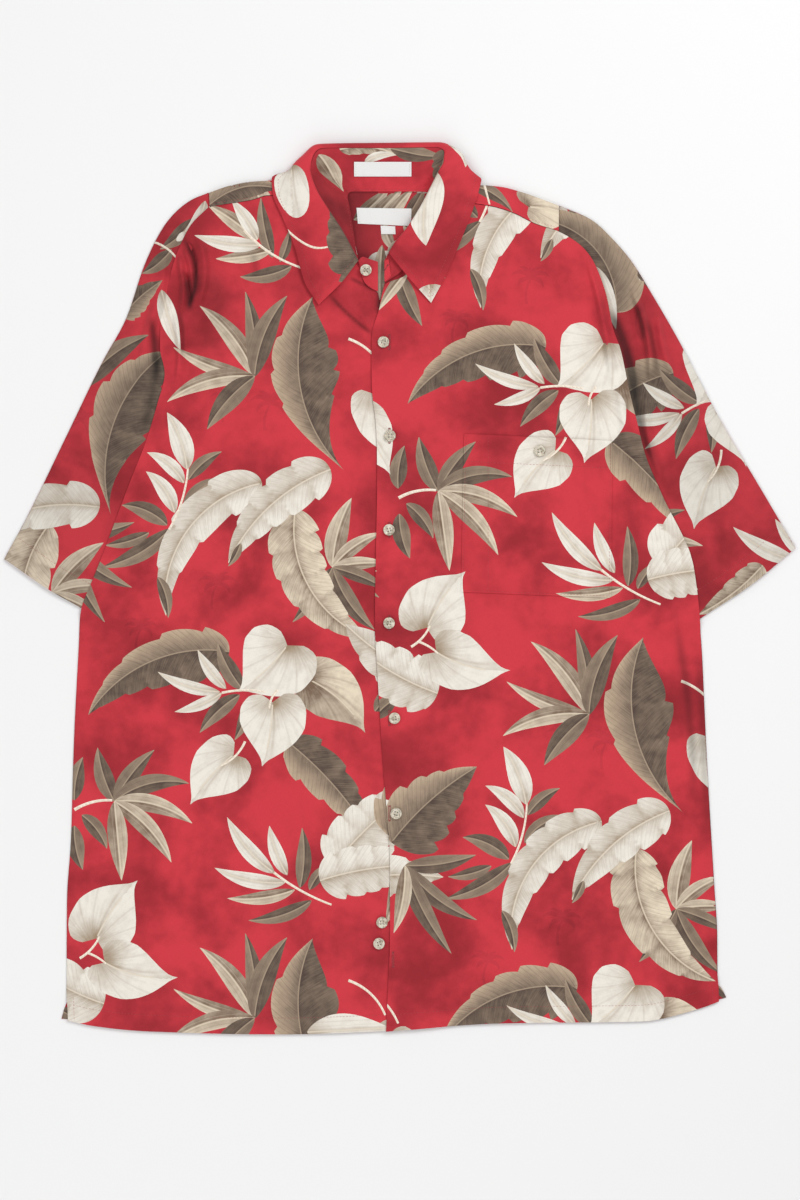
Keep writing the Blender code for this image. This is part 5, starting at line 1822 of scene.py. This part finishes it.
@dataclass
class Collar:
    """The collar: a band round the neck, and the leaf that folds down over it."""

    leaf_motifs: Sequence[Motif]
    band_motifs: Sequence[Motif]
    leaf_wall: float = 1.0
    band_wall: float = 0.9
    leaf_stitch: float = 6.0
    band_stitch: float = 2.0
    belly: float = 0.4
    neck_back: tuple[float, float] = (370.0, 378.0)
    set_back: float = 2.6
    foot_height: float = 2.2
    # Painted shadow of the leaf on the band: its share, its place along the band from its end, and its reach.
    shade: float = 0.55
    painted_shade_from_end: float = 78.0
    painted_shade_reach: float = 36.0

    @staticmethod
    def parts(places: Array) -> tuple[Array, ...]:
        """Base, fold, outer and edge points, the way down into the band, and how far it is under."""
        rows = rows_of(COLLAR_ROWS, places)
        base, fold, out, edge = rows[:, :3], rows[:, 3:6], rows[:, 6:9], rows[:, 9:]
        under = np.clip((4 - edge[:, 2:]) / 3, 0, 1)
        outward = unit((out - fold)[:, :2])
        steep = unit(np.concatenate([-0.3 * outward, np.full((len(fold), 1), -1.0)], axis=1))
        return base, fold, out, edge, unit(under * unit(base - fold) + (1 - under) * steep), under

    def leaf_sections(self, places: Array) -> Array:
        """Points across the leaf, from the band's top over the fold to its edge."""
        _, fold, out, edge, down, under = self.parts(places)
        start = fold + down * ROLL_START
        ground = out + (edge - out) * np.array((0.14, 0.14, 0.95))
        middle = (out + edge) / 2 - (0, 0, self.belly)
        turn = under * ground + (1 - under) * middle
        shares = np.concatenate([np.linspace(0, 0.2, 10)[:-1], np.linspace(0.2, 1, 22)])
        return np.stack([along(row, shares) for row in zip(start, fold, out, turn, edge)])

    def band_sections(self, places: Array) -> Array:
        """Points up the band, from the neckline to below the fold, its flat ends included."""
        numbers = np.linspace(0, 18, 73)
        base, fold, _, _, down, _ = self.parts(numbers)
        top = fold + down * STAND_TOP
        bend = top + down * STAND_BEND * np.linalg.norm(top - base, axis=1, keepdims=True)
        bend[:, 2] = np.maximum(bend[:, 2], base[:, 2] + 0.5)
        right, left = np.array(BAND_END_RIGHT), np.array(BAND_END_LEFT[::-1])
        base = np.concatenate([right[:, :3], base, left[:, :3]])
        base[:, 1] -= self.set_back * np.interp(base[:, 1], self.neck_back, (0, 1))
        at_back = base[:, 1] > np.mean(self.neck_back)
        base[at_back, 2] = np.minimum(base[at_back, 2], self.foot_height)
        top = np.concatenate([right[:, 3:], top, left[:, 3:]])
        halves = [(ends[:, :3] + ends[:, 3:]) / 2 for ends in (right, left)]
        bend = np.concatenate([halves[0], bend, halves[1]])
        table = np.concatenate([base, bend, top], axis=1)
        rows = rows_of(table, places)[:, None]
        t = np.linspace(0, 1, 16)[None, :, None]
        return (1 - t) ** 2 * rows[..., :3] + 2 * t * (1 - t) * rows[..., 3:6] + t**2 * rows[..., 6:]

    def leaf(self) -> Sheet:
        """The leaf, printed on its outside, its seam turned inside and edge-stitched."""
        self.leaf_strip = Ribbon(self.leaf_sections, last=18, middle=18)
        edge = self.leaf_strip.edge()
        band = Band(edge, self.leaf_stitch, self.leaf_stitch + 0.6, rise=0.22, pucker=0.12)
        return Sheet(self.leaf_strip.outline(), self.leaf_strip.lie, self.leaf_motifs, (), [band],
                     thickness=self.leaf_wall, pitch=3.2, seed=7.0)

    def band(self) -> Sheet:
        """The band, printed towards the neck."""
        self.band_strip = Ribbon(self.band_sections, last=77, middle=8)
        line = np.stack([np.linspace(0, self.band_strip.length, 90), np.zeros(90)], axis=-1)
        band = Band(line, self.band_stitch, width=4.0, rise=0.1, pucker=0.08)
        return Sheet(self.band_strip.outline(), self.band_strip.lie, self.band_motifs, (), [band],
                     thickness=self.band_wall, pitch=3.2, seed=8.0, painted_shade=self.painted_shade)

    def painted_shade(self, flat: Array) -> Array:
        """Painted shadow on the band, under the right side of the leaf."""
        return self.shade * np.exp(-(((flat[:, 0] - self.painted_shade_from_end) / self.painted_shade_reach) ** 2))

    def sew(self, sewing: Sewing, leaf: Sheet, band: Sheet) -> None:
        """Edge-stitches the leaf and the foot of the band, and sews the band's buttonhole."""
        sewing.beside(leaf, leaf.bands[0].line, self.leaf_stitch, STITCH_LINE_PITCH)
        sewing.row(band, offset(spaced(band.bands[0].line, STITCH_LINE_PITCH), self.band_stitch))
        buttonhole(sewing, band, centre=(336.0, 11.0), length=13.0, turn=8.0)


@dataclass
class Pocket:
    """The chest pocket on the left front, matched to the print below it, with a pen slot."""

    front: Front
    name: str = "chest_pocket"
    hem_depth: float = 26.0
    slot_x: float = 83.6
    edge_stitch: float = 1.8
    gap: float = 0.1
    gape: float = 0.5

    def __post_init__(self) -> None:
        """Lays out its four edges."""
        low_left, low_right, high_right, high_left = np.array(POCKET)
        self.top = np.stack([high_right, high_left])
        self.sewn = np.stack([high_left, low_left, low_right, high_right])

    def lie(self, plan: Array) -> Array:
        """Places of the cloth's middle: close to the front where sewn, a little open at the top."""
        from_sewn, _ = from_line(plan, self.sewn)
        from_top, _ = from_line(plan, self.top)
        lift = CLOTH + self.gap + (PANEL_ON_PANEL - CLOTH - self.gap) * eased(from_sewn / 10)
        lift = lift + self.gape * eased(from_sewn / 30) * near(from_top, 4, 50)
        return at_height(plan, self.front.height(plan) + lift)

    def sheets(self, repeat: PrintRepeat) -> tuple[Sheet, ...]:
        """The pocket, with the same print as the front."""
        outline = spaced(np.array([*POCKET, POCKET[0]]), 3.0)[:-1]
        bands = [Band(self.sewn, self.edge_stitch, width=7.0, rise=0.14, pucker=0.08),
                 Band(self.top, self.hem_depth, self.hem_depth + 1, rise=0.2, pucker=0.08)]
        motifs = repeat.over(outline, self.front.placing)
        return (Sheet(outline, self.lie, motifs, bands=bands, pitch=4.0, seed=self.front.seed),)

    def sew(self, sewing: Sewing, sheet: Sheet) -> None:
        """Sews the sides and the bottom, the top hem and the pen slot."""
        inset = self.edge_stitch
        path = self.sewn + ((inset, -1), (inset, inset), (-inset, inset), (-inset, -1))
        hem = self.top - (0, self.hem_depth)
        slot = np.array([(self.slot_x, self.sewn[0, 1] - 2), (self.slot_x, self.sewn[1, 1])])
        for line in (path, hem, slot):
            sewing.row(sheet, spaced(line, STITCH_LINE_PITCH))


@dataclass
class Buttons:
    """Four-hole horn-effect buttons with a raised rim and a dish, each sewn on with thread."""

    radius: float = 5.5
    thick: float = 2.4
    dish: float = 0.8
    hole: float = 0.62
    pitch: float = 1.25
    sides: int = 48
    names: Sequence[str] = (*(f"button_{k}" for k in range(1, 9)), "button_stand", "button_pocket")

    def blank(self, surface: bpy.types.Material) -> bpy.types.Mesh:
        """One button's mesh, with its foot at the origin."""
        r, top = self.radius, self.thick
        profile = (
            # radius, height: underside, rounded wall, rim and dish
            (0.0, 0.0), (r - 1.6, 0.0), (r - 0.7, 0.25), (r - 0.15, 0.8), (r, 1.3), (r - 0.08, top - 0.55),
            (r - 0.35, top - 0.15), (r - 0.8, top), (r - 1.25, top - 0.1), (r - 1.7, top - 0.5),
            (r - 2.1, top - self.dish + 0.06), (r - 2.5, top - self.dish), (0.0, top - self.dish - 0.05),
        )
        disc = self._lathe("button_blank", profile, (0, 0), self.sides, surface)
        for x in (-self.pitch, self.pitch):
            for y in (-self.pitch, self.pitch):
                drill_profile = ((0.0, -1.0), (self.hole, -1.0), (self.hole, top - self.dish - 0.2),
                                 (self.hole + 0.3, top + 0.1), (0.0, top + 0.1))
                drill = self._lathe("drill", drill_profile, (x, y), 14, surface)
                cut = disc.modifiers.new("hole", "BOOLEAN")
                cut.operation = "DIFFERENCE"
                cut.object = drill
                bpy.context.view_layer.update()
                mesh = bpy.data.meshes.new_from_object(
                    disc.evaluated_get(bpy.context.evaluated_depsgraph_get()))
                disc.modifiers.clear()
                disc.data = mesh
                bpy.data.objects.remove(drill)
        mesh = disc.data
        bpy.data.objects.remove(disc)
        mesh.shade_smooth()
        mesh.set_sharp_from_angle(angle=math.radians(40))
        return mesh

    @staticmethod
    def _lathe(name: str, profile: Sequence[Plan], centre: Plan, sides: int,
               surface: bpy.types.Material) -> bpy.types.Object:
        """A round solid from a profile that starts and ends on its axis."""
        angles = np.linspace(0, 2 * math.pi, sides, endpoint=False)
        x, y = centre
        points = [(x, y, profile[0][1])]
        for radius, height in profile[1:-1]:
            points += [(x + radius * math.cos(a), y + radius * math.sin(a), height) for a in angles]
        points.append((x, y, profile[-1][1]))
        faces, rings = [], len(profile) - 2
        for k in range(sides):
            after = (k + 1) % sides
            faces.append((0, 1 + after, 1 + k))
            for r in range(rings - 1):
                a, b = 1 + r * sides, 1 + (r + 1) * sides
                faces.append((a + k, a + after, b + after, b + k))
            last = 1 + (rings - 1) * sides
            faces.append((last + k, last + after, len(points) - 1))
        return placed(name, new_mesh(name, points, faces, surface))

    def build(self, surface: bpy.types.Material, sewing: Sewing) -> None:
        """Puts a button at each place and sews it on."""
        blank = self.blank(surface)
        for index, name in enumerate(self.names):
            low, high = (np.array(corner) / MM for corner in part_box(name))
            centre = (low + high) / 2
            turn = math.radians((17 * index) % 40 - 20)
            cos, sin = math.cos(turn), math.sin(turn)
            mesh = blank.copy()
            points = np.zeros(len(mesh.vertices) * 3)
            mesh.vertices.foreach_get("co", points)
            spin = np.array(((cos, sin, 0), (-sin, cos, 0), (0, 0, 1)))
            points = points.reshape(-1, 3) @ spin
            points += np.array((centre[0], centre[1], low[2])) * MM
            mesh.vertices.foreach_set("co", points.ravel())
            made = placed(f"horn_{name}", mesh)
            stand_for(made, name)
            lanes = [lane * self.pitch + strand for lane in (-1, 1) for strand in (-0.22, 0.0, 0.22)]
            starts = np.array([(x, -self.pitch - 0.25, 0) for x in lanes])
            foot = (centre[0], centre[1], low[2] + self.thick - self.dish)
            up = np.tile((0.0, 0.0, 1.0), (len(lanes), 1))
            sewing.bars(starts @ spin + foot, starts * (1, -1, 1) @ spin + foot, up)
            log.info("%s", made.name)


@dataclass
class Label:
    """A woven label of bare white tape with its ends folded under, sewn at both ends."""

    name: str
    node: str
    corners: Sequence[Plan]
    height: Callable[[Array], Array]
    wall: float = 0.45
    full: Plan | None = None
    seam_in: float = 1.6
    stitch: float = 1.6
    gap: float = 0.6

    def build(self, surface: bpy.types.Material, sewing: Sewing, rests_on: str) -> None:
        """Makes the label and its stitches."""
        low_left, low_right, high_right, high_left = np.array(self.corners)
        u = np.linspace(0, 1, 40)[None, :, None]
        v = np.linspace(0, 1, 14)[:, None, None]
        plan = (1 - v) * ((1 - u) * low_left + u * low_right) + v * ((1 - u) * high_left + u * high_right)
        rows, columns = plan.shape[:2]
        flat = plan.reshape(-1, 2)
        middle = self.height(flat)
        length = np.linalg.norm(low_right - low_left)
        from_end = (np.minimum(u, 1 - u) * length * np.ones_like(v))[..., 0].ravel()
        swell = 0.22 * np.sin(flat[:, 0] / 6.1) * np.sin(flat[:, 1] / 4.7 + 1)
        top = middle + self.wall / 2 + 0.18 * near(from_end, 5.0, 1.2) + swell
        low = middle - self.wall / 2
        edge = np.zeros((rows, columns), bool)
        edge[[0, -1]] = edge[:, [0, -1]] = True
        top[edge.ravel()] -= 0.12
        points = np.concatenate([at_height(flat, top), at_height(flat, low)])
        number = np.arange(rows * columns).reshape(rows, columns)
        corners = (number[:-1, :-1], number[:-1, 1:], number[1:, 1:], number[1:, :-1])
        cells = np.stack(corners, -1).reshape(-1, 4)
        ring = np.concatenate([number[0], number[1:, -1], number[-1, -2::-1], number[-2:0:-1, 0]])
        shift = rows * columns
        rim = np.stack([ring, ring + shift, np.roll(ring, -1) + shift, np.roll(ring, -1)], -1)
        faces = np.concatenate([cells, cells[:, ::-1] + shift, rim])
        mesh = new_mesh(self.name, points, faces.tolist(), surface)
        store(mesh, PLACE, "POINT", at_height(np.tile(flat, (2, 1)), 0.0))
        mesh.shade_smooth()
        mesh.set_sharp_from_angle(angle=math.radians(50))
        made = placed(self.name, mesh)
        stand_for(made, self.node)
        for k in (self.seam_in, length - self.seam_in):
            t = np.linspace(0.08, 0.92, 30)[:, None]
            path = (1 - t) * (low_left + (low_right - low_left) * k / length)
            path = path + t * (high_left + (high_right - high_left) * k / length)
            line = at_height(path, self.height(path) + self.wall / 2 + 0.2)
            run = run_of(line)
            starts = np.arange(0.3, run[-1] - self.stitch, self.stitch + self.gap)
            tips, ends = read_at(line, run, starts), read_at(line, run, starts + self.stitch)
            sewing.bars(tips, ends, np.broadcast_to((0.0, 0.0, 1.0), tips.shape))


def buttonhole(sewing: Sewing, sheet: Sheet, centre: Plan, length: float, turn: float) -> None:
    """Sews a buttonhole: two rows of close cross threads and a bar at each end.

    Args:
        sewing: Takes the threads.
        sheet: The cloth that it is cut in.
        centre: Its middle on the cut.
        length: Its length in millimetres.
        turn: Its direction in degrees from the cut's x axis.
    """
    way = np.array((math.cos(math.radians(turn)), math.sin(math.radians(turn))))
    aside = np.array((-way[1], way[0]))
    slit, reach, pace, bar = 0.12, 1.25, 0.42, 0.4
    ends = (-length / 2, length / 2)
    threads = [(np.arange(*ends, pace), side * slit, side * reach, 0.03) for side in (1, -1)]
    threads += [(end + np.linspace(-bar, bar, 3), -1.3, 1.3, 0.12) for end in ends]
    for places, inner, outer, lift in threads:
        line = np.array(centre) + places[:, None] * way
        start, up = sheet.on_face(line + inner * aside, lift)
        sewing.bars(start, sheet.on_face(line + outer * aside, lift)[0], up)


# ---------------------------------------------------------------- the stand-alone table: floor, light, camera

@dataclass
class Studio:
    """A pale floor, soft overhead light and a camera straight above."""

    aim: Plan = (0.0, -10.9)
    frame_height: float = 1140.0
    lens: float = 85.0
    sensor: float = 36.0
    floor_reach: float = 3000.0
    floor_drop: float = 0.4

    def build(self) -> None:
        """Makes the floor, the lights, the world and the camera."""
        size, drop = self.floor_reach, self.floor_drop
        corners = [(-size, -size, -drop), (size, -size, -drop), (size, size, -drop), (-size, size, -drop)]
        mesh = new_mesh("studio_floor", corners, [(0, 1, 2, 3)], PaintedFloor().material())
        placed("studio_floor", mesh)

        self._area("soft_key", (1.15, 1.3, 2.0), size=1.2, power=34.0)
        self._area("soft_fill", (-1.6, 0.2, 2.0), size=2.4, power=19.0)
        self._area("soft_low", (-0.2, -1.9, 1.7), size=2.2, power=20.0)

        world = bpy.data.worlds.new("studio_world")
        world.use_nodes = True
        world.node_tree.nodes.clear()
        glow = add_node(world.node_tree, "Background", {"Color": (1.0, 1.0, 1.0, 1.0), "Strength": 0.42})
        add_node(world.node_tree, "OutputWorld", {"Surface": glow})
        bpy.context.scene.world = world

        camera = bpy.data.cameras.new("camera")
        camera.lens, camera.sensor_width = self.lens, self.sensor
        camera.clip_start, camera.clip_end = 0.1, 20.0
        stand = placed("camera", camera)
        distance = self.frame_height * self.lens / self.sensor
        stand.location = (self.aim[0] * MM, self.aim[1] * MM, distance * MM)
        bpy.context.scene.camera = stand
        bpy.context.scene.view_settings.view_transform = "Standard"

    @staticmethod
    def _area(name: str, place: tuple[float, float, float], size: float, power: float) -> None:
        """A square soft light that points at the shirt."""
        light = bpy.data.lights.new(name, "AREA")
        light.shape, light.size, light.energy = "SQUARE", size, power
        made = placed(name, light)
        made.location = place
        made.rotation_euler = (-Vector(place)).to_track_quat("-Z", "Y").to_euler()


# ---------------------------------------------------------------- creases and prints of each piece

# A seventh number in a row darkens the fold's colour as painted shade; rows of height zero are only that.
RIGHT_CREASES = folds(
    # beside the armhole, where the sleeve cap pulls
    ((-201, 328), (-195, 296), 1.8, -3.2, 0.12),
    ((-206, 302), (-199, 272), 1.8, -2.9, 0.08),
    ((-204, 322), (-197, 280), 2.7, 3.4, 0.06),
    ((-211, 318), (-206, 268), 3.2, 5.4, 0.06),
    ((-190, 332), (-189, 274), 4.2, 5.6, 0.09, -0.3),
    ((-178, 316), (-172, 276), 9.0, -1.3, 0.1, 0.2),
    ((-213, 256), (-211, 200), 4.0, 4.2, 0.05, 0.3),
    ((-204, 330), (-199, 270), 2.9, 0.0, 0.13, 0.0, 0.70),
    ((-203, 292), (-200, 266), 3.0, 0.0, 0.03, 0.0, 0.45),
    ((-210, 262), (-207, 222), 2.6, 0.0, 0.05, 0.0, 0.42),
    ((-140, 318), (-137, 300), 3.6, 0.0, 0.05, 0.0, 0.30),
    ((-20, 294), (-20, 264), 3.4, 0.0, 0.03, 0.0, 0.78),
    ((-66, 278), (-28, 243), 2.2, 0.0, -0.03, 0.0, 0.56),
    ((-46, 294), (-26, 284), 1.9, 0.0, 0.0, 0.0, 0.5),
    ((-178, 300), (-170, 262), 9.0, 0.0, 0.03, 0.0, 0.24),
    ((-190, 300), (-178, 220), 18.0, 0.0, 0.05, 0.0, 0.16),
    ((-204, 250), (-200, 206), 3.5, -1.4, -0.04),
    ((-176, 262), (-186, 214), 7.0, 1.4, -0.08, 0.2),
    ((-170, 318), (-120, 296), 12.0, 0.7, 0.08, 0.2),
    ((-38, 262), (-29, 246), 3.0, 1.8, 0.05),
    ((-62, 292), (-36, 258), 5.0, 1.2, -0.05),
    # long soft folds of the body
    ((-255, -60), (-275, -330), 26.0, 1.5, 0.03, 0.2),
    ((-150, 210), (-110, -40), 34.0, 1.1, -0.03, 0.1),
    ((-70, -60), (-60, -340), 30.0, 1.0, 0.02),
    ((-190, 60), (-160, -260), 30.0, 0.9, 0.03, -0.2),
    ((-290, 10), (-215, -30), 15.0, 1.0, -0.08, 0.3),
    ((-297, -30), (-240, -95), 11.0, 0.8, 0.06, 0.3),
    ((-235, 120), (-160, 60), 13.0, 0.7, 0.05, 0.2),
    ((-100, 180), (-60, 90), 11.0, 0.6, 0.06),
    ((-250, -180), (-170, -230), 12.0, 0.6, 0.05),
    ((-120, -330), (-100, -400), 12.0, 0.7, 0.02),
    ((-215, -340), (-225, -405), 11.0, 0.7, 0.03),
)
# A seventh number in a row darkens the fold's colour as painted shade; rows of height zero are only that.
LEFT_CREASES = folds(
    ((120, 290), (60, 180), 30.0, 1.1, 0.03, 0.1), ((60, -60), (50, -330), 30.0, 1.0, -0.02, 0.1),
    ((245, 20), (262, -300), 26.0, 1.5, -0.03, -0.2), ((150, -80), (170, -340), 34.0, 1.1, 0.02, 0.1),
    ((181, 302), (200, 206), 4.2, 5.0, 0.02, 0.3), ((208, 192), (222, 118), 5.0, 3.6, -0.03, 0.2),
    ((258, -25), (272, -185), 5.0, 1.4, 0.02, 0.2), ((263, -40), (279, -190), 4.5, 0.0, 0.02, 0.0, 0.38),
    ((284, -70), (291, -215), 4.0, 0.6, 0.0, 0.0, 0.30),
    ((266, -130), (226, -60), 5.0, 0.4, -0.05, 0.0, 0.14), ((180, 262), (192, 214), 4.0, -1.4, 0.05),
    ((176, 262), (188, 200), 9.0, 1.0, 0.05), ((232, 106), (262, 30), 6.0, 2.0, 0.03, -0.2),
    ((170, 300), (130, 250), 10.0, 0.8, 0.05, 0.3), ((262, 60), (200, 20), 13.0, 0.9, 0.06, 0.3),
    ((276, -20), (215, -80), 12.0, 0.9, -0.05, 0.2), ((240, 100), (215, 60), 9.0, 0.7, 0.05),
    ((20, 250), (90, 200), 12.0, 0.6, -0.05), ((30, 30), (45, -60), 12.0, 0.6, 0.04),
    ((120, -20), (95, -110), 14.0, 0.6, 0.04, 0.2), ((230, -220), (180, -260), 12.0, 0.6, 0.04),
    ((110, -330), (115, -402), 12.0, 0.7, 0.02), ((235, -325), (240, -398), 11.0, 0.8, 0.03))
# A seventh number in a row darkens the fold's colour as painted shade; rows of height zero are only that.
SLEEVE_RIGHT_CREASES = folds(
    ((-235, 300), (-300, 120), 14.0, 1.6, 0.04, 0.2), ((-265, 140), (-330, 30), 16.0, 1.4, -0.04, 0.2),
    ((-224, 312), (-236, 246), 5.0, 3.8, 0.05, -0.2), ((-232, 268), (-246, 196), 5.0, 3.2, -0.04, 0.2),
    ((-230, 240), (-232, 204), 3.5, -1.0, 0.05, 0.0, 0.30),
    ((-235, 254), (-233, 214), 3.6, 0.0, 0.0, 0.0, 0.55),
    ((-231, 216), (-243, 150), 4.4, 0.0, 0.02, 0.0, 0.38), ((-245, 190), (-268, 110), 7.0, 1.1, 0.05, 0.2),
    ((-240, 150), (-285, 95), 8.0, 0.9, 0.06, 0.3))
# A seventh number in a row darkens the fold's colour as painted shade; rows of height zero are only that.
SLEEVE_LEFT_CREASES = folds(
    ((226, 270), (300, 100), 13.0, 1.7, -0.04, -0.2), ((262, 196), (330, 40), 16.0, 1.3, 0.04, 0.2),
    ((222, 278), (237, 204), 3.6, 6.6, 0.05, 0.3), ((201, 260), (221, 196), 5.6, 0.0, 0.04, 0.0, 0.76),
    ((221, 200), (240, 120), 4.6, 0.0, -0.04, 0.0, 0.62),
    ((224, 268), (231, 236), 2.6, 0.0, 0.03, 0.0, 0.48),
    ((234, 252), (244, 204), 3.2, 0.0, 0.03, 0.0, 0.36), ((213, 270), (226, 200), 3.0, -1.0, 0.04),
    ((246, 256), (257, 206), 3.8, 4.6, -0.05), ((216, 232), (228, 178), 5.0, -0.9, 0.02),
    ((233, 176), (247, 106), 4.2, 4.6, -0.05, 0.2), ((256, 150), (270, 112), 4.5, 1.8, 0.05),
    ((226, 190), (262, 110), 7.0, 1.1, 0.05, 0.2), ((245, 105), (300, 50), 8.0, 1.0, 0.05, 0.3))


# Leaves that only one piece shows, where its cut breaks the repeat.
SHOULDER_SPRAY = leaves(
    (B, TAUPE, (-121, 314), (-132, 371), 14, 0.04), (B, TAUPE, (-114, 310), (-105, 340), 10, -0.05),
    (B, TAUPE, (-103, 306), (-152, 296), 15, 0.08), (B, TAN, (-122, 321), (-175, 313), 13, 0.04),
    (B, CREAM, (-132, 326), (-195, 335), 15, 0.05), (B, TAN, (-136, 330), (-183, 364), 15, -0.04),
    (B, CREAM, (-135, 331), (-160, 369), 14, -0.03), (S, STEM, (-148, 340), (-92, 304), 2.6, -0.07),
    (B, CREAM, (-226, 283), (-208, 226), 17, -0.03), (B, CREAM, (-88, -421), (-10, -417), 32))
LEFT_EDGE = leaves(
    (H, CREAM, (-38, 165), (-9, 108), 46), (B, TAUPE, (-1, 300), (21, 249), 17, -0.04),
    (B, TAN, (8, 302), (-20, 264), 11, -0.03))
CAP_RIGHT = leaves(
    (B, TAUPE, (-197, 351), (-228, 322), 15, 0.08), (B, TAUPE, (-217, 322), (-245, 299), 15, 0.08),
    (S, STEM, (-238, 330), (-211, 312), 2.3, 0.1), (B, CREAM, (-185, 368), (-206, 337), 12, 0.12),
    (O, CREAM, (-203, 338), (-212, 330), 7), (P, TAUPE, (-264, 258), (-225, 292), 28, 0.05, -1),
    (B, CREAM, (-226, 283), (-208, 226), 17, -0.03))
CAP_LEFT = leaves(
    (B, TAUPE, (222, 316), (246, 278), 15), (P, TAUPE, (205, 262), (112, 350), 45, -0.24, -1, -0.3),
    (B, CREAM, (185, 306), (205, 246), 15, 0.03), (P, TAN, (344, 22), (283, -25), 26, 0.05, 1))
LEAF_MOTIFS = leaves(
    # along the collar leaf from its right point, and out from its fold
    (O, CREAM, (126, 18), (73, 38), 34, 0.05),
    (S, STEM, (64, 51), (37, 21), 2.4, -0.12),
    (P, TAUPE, (-12, -6), (82, -6), 48, 0.0, -1, 0.5),
    (B, CREAM, (275, 8), (307, 27), 11, 0.06),
    (B, CREAM, (308, -2), (389, 27), 34, -0.1),
    (O, CREAM, (416, 51), (440, 77), 36),
)
BAND_MOTIFS = leaves(
    (B, TAN, (127, 47), (113, 5), 19, 0.08), (P, TAN, (144, 45), (187, 35), 15, 0.04, 1),
    (B, TAUPE, (180, 41), (226, 40), 16, -0.04), (B, CREAM, (159, 27), (186, 35), 8, 0.1),
    (P, TAUPE, (223, 49), (236, 2), 20, 0.04))
NECK_MOTIFS = leaves(
    # on the wrong side of the yoke, so x runs the other way
    (B, TAN, (44, 350), (10, 381), 14, 0.04),
    (B, TAN, (30, 346), (-3, 381), 14),
    (B, TAN, (16, 343), (-13, 380), 13, -0.04),
    (B, TAUPE, (-6, 350), (-24, 381), 13),
    (B, TAUPE, (-14, 348), (-37, 379), 13, 0.05),
    (B, TAN, (15, 345), (5, 320), 11, 0.05),
    (B, TAN, (-3, 344), (-20, 334), 9),
    (B, TAN, (-2, 330), (12, 314), 9, 0.1),
    (O, CREAM, (30, 311), (9, 319), 11),
    (B, TAN, (17, 326), (19, 272), 12, 0.02),
)


def main() -> None:
    """Builds the shirt piece by piece over its solids."""
    logging.basicConfig(level=logging.INFO, format="%(message)s")
    Studio().build()
    palette, repeat = Palette(), PrintRepeat()
    thread = SewingThread("spun_polyester_thread_red", "#A92F39").material()
    pale_thread = SewingThread("spun_polyester_thread_stone", "#CFC7B6").material()
    horn, tape = HornButton().material(), WovenTape("damask_woven_white_tape").material()

    back, yoke = Back(), Yoke(lining=NECK_MOTIFS)
    sleeve_right = Sleeve(
        "short_sleeve_right", ARMHOLE_RIGHT, SLEEVE_FOLD_RIGHT, CUFF_RIGHT, SLEEVE_RIGHT_CREASES,
        Placing(-30.0, (-52.0, 113.0), (-273.0, 70.0), clear=((-222, 308, 58),), extra=CAP_RIGHT), seed=4.0)
    sleeve_left = Sleeve(
        "short_sleeve_left", ARMHOLE_LEFT, SLEEVE_FOLD_LEFT, CUFF_LEFT, SLEEVE_LEFT_CREASES,
        Placing(22.0, (-165.3, -94.5), (268.9, 171.5), clear=((190, 300, 62),), extra=CAP_LEFT), seed=5.0)
    right = Front(
        "right_front", FRONT_RIGHT_ROWS, HEM_RIGHT, YOKE_SEAM_RIGHT, False, RIGHT_CREASES,
        Placing(clear=((-150, 330, 62), (-245, 247, 20), (-328, -155, 26)), extra=SHOULDER_SPRAY), seed=1.0)
    kept_bare = ((231, 300, 24), (215, 280, 10), (324, -388, 25), (-24, 142, 14))
    left = Front(
        "left_front", FRONT_LEFT_ROWS, HEM_LEFT, YOKE_SEAM_LEFT[::-1], True, LEFT_CREASES,
        Placing(0.0, (137.8, -58.4), (133.0, -72.7), slant=-0.049, rise=-0.045, clear=kept_bare,
                extra=LEFT_EDGE), seed=1.6)
    for piece, node, rests_on in (
        (back, "back", "studio_floor"), (yoke, "yoke", "studio_floor"),
        (sleeve_right, "sleeve_right", "studio_floor"), (sleeve_left, "sleeve_left", "studio_floor"),
        (right, "front_right", "back_panel"), (left, "front_left", "back_panel"),
        (Pocket(left), "pocket", "left_front"),
    ):
        sheets = piece.sheets(repeat)
        make_piece(palette, piece.name, node, sheets)
        sewing = Sewing(f"stitches_{node}", thread)
        piece.sew(sewing, sheets[0])
        sewing.build()

    collar = Collar(LEAF_MOTIFS, BAND_MOTIFS)
    leaf, band = collar.leaf(), collar.band()
    make_piece(palette, "collar_band", "collar_stand", [band])
    make_piece(palette, "collar_leaf", "collar_fall", [leaf])
    sewing = Sewing("stitches_collar", thread)
    collar.sew(sewing, leaf, band)
    sewing.build()

    fastening = Sewing("button_threads", pale_thread, half_width=0.13, height=0.16)
    Buttons().build(horn, fastening)
    fastening.build()

    tacks = Sewing("label_threads", pale_thread, half_width=0.13, height=0.14)
    low, high = (np.array(corner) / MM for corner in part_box("label_care"))

    def on_yoke(plan: Array) -> Array:
        """Height of a label that lies on the inside of the yoke."""
        return np.full(len(plan), FLOOR_LAYER + CLOTH / 2 + 0.5)

    def on_band(plan: Array) -> Array:
        """Height of the narrow label, which leans back with the band."""
        t = (plan[:, 1] - low[1]) / (high[1] - low[1])
        return low[2] + 0.5 + t * (high[2] - low[2] - 1.0)

    for label, rests_on in (
        (Label("woven_neck_label", "label_neck", NECK_LABEL, on_yoke), "back_yoke"),
        (Label("woven_size_tab", "label_size", SIZE_TAB, on_yoke, full=(14.2, 16.0)), "back_yoke"),
        (Label("woven_band_label", "label_care", BAND_LABEL, on_band), "collar_band"),
    ):
        label.build(tape, tacks, rests_on)
    tacks.build()


if __name__ == "__main__":
    main()
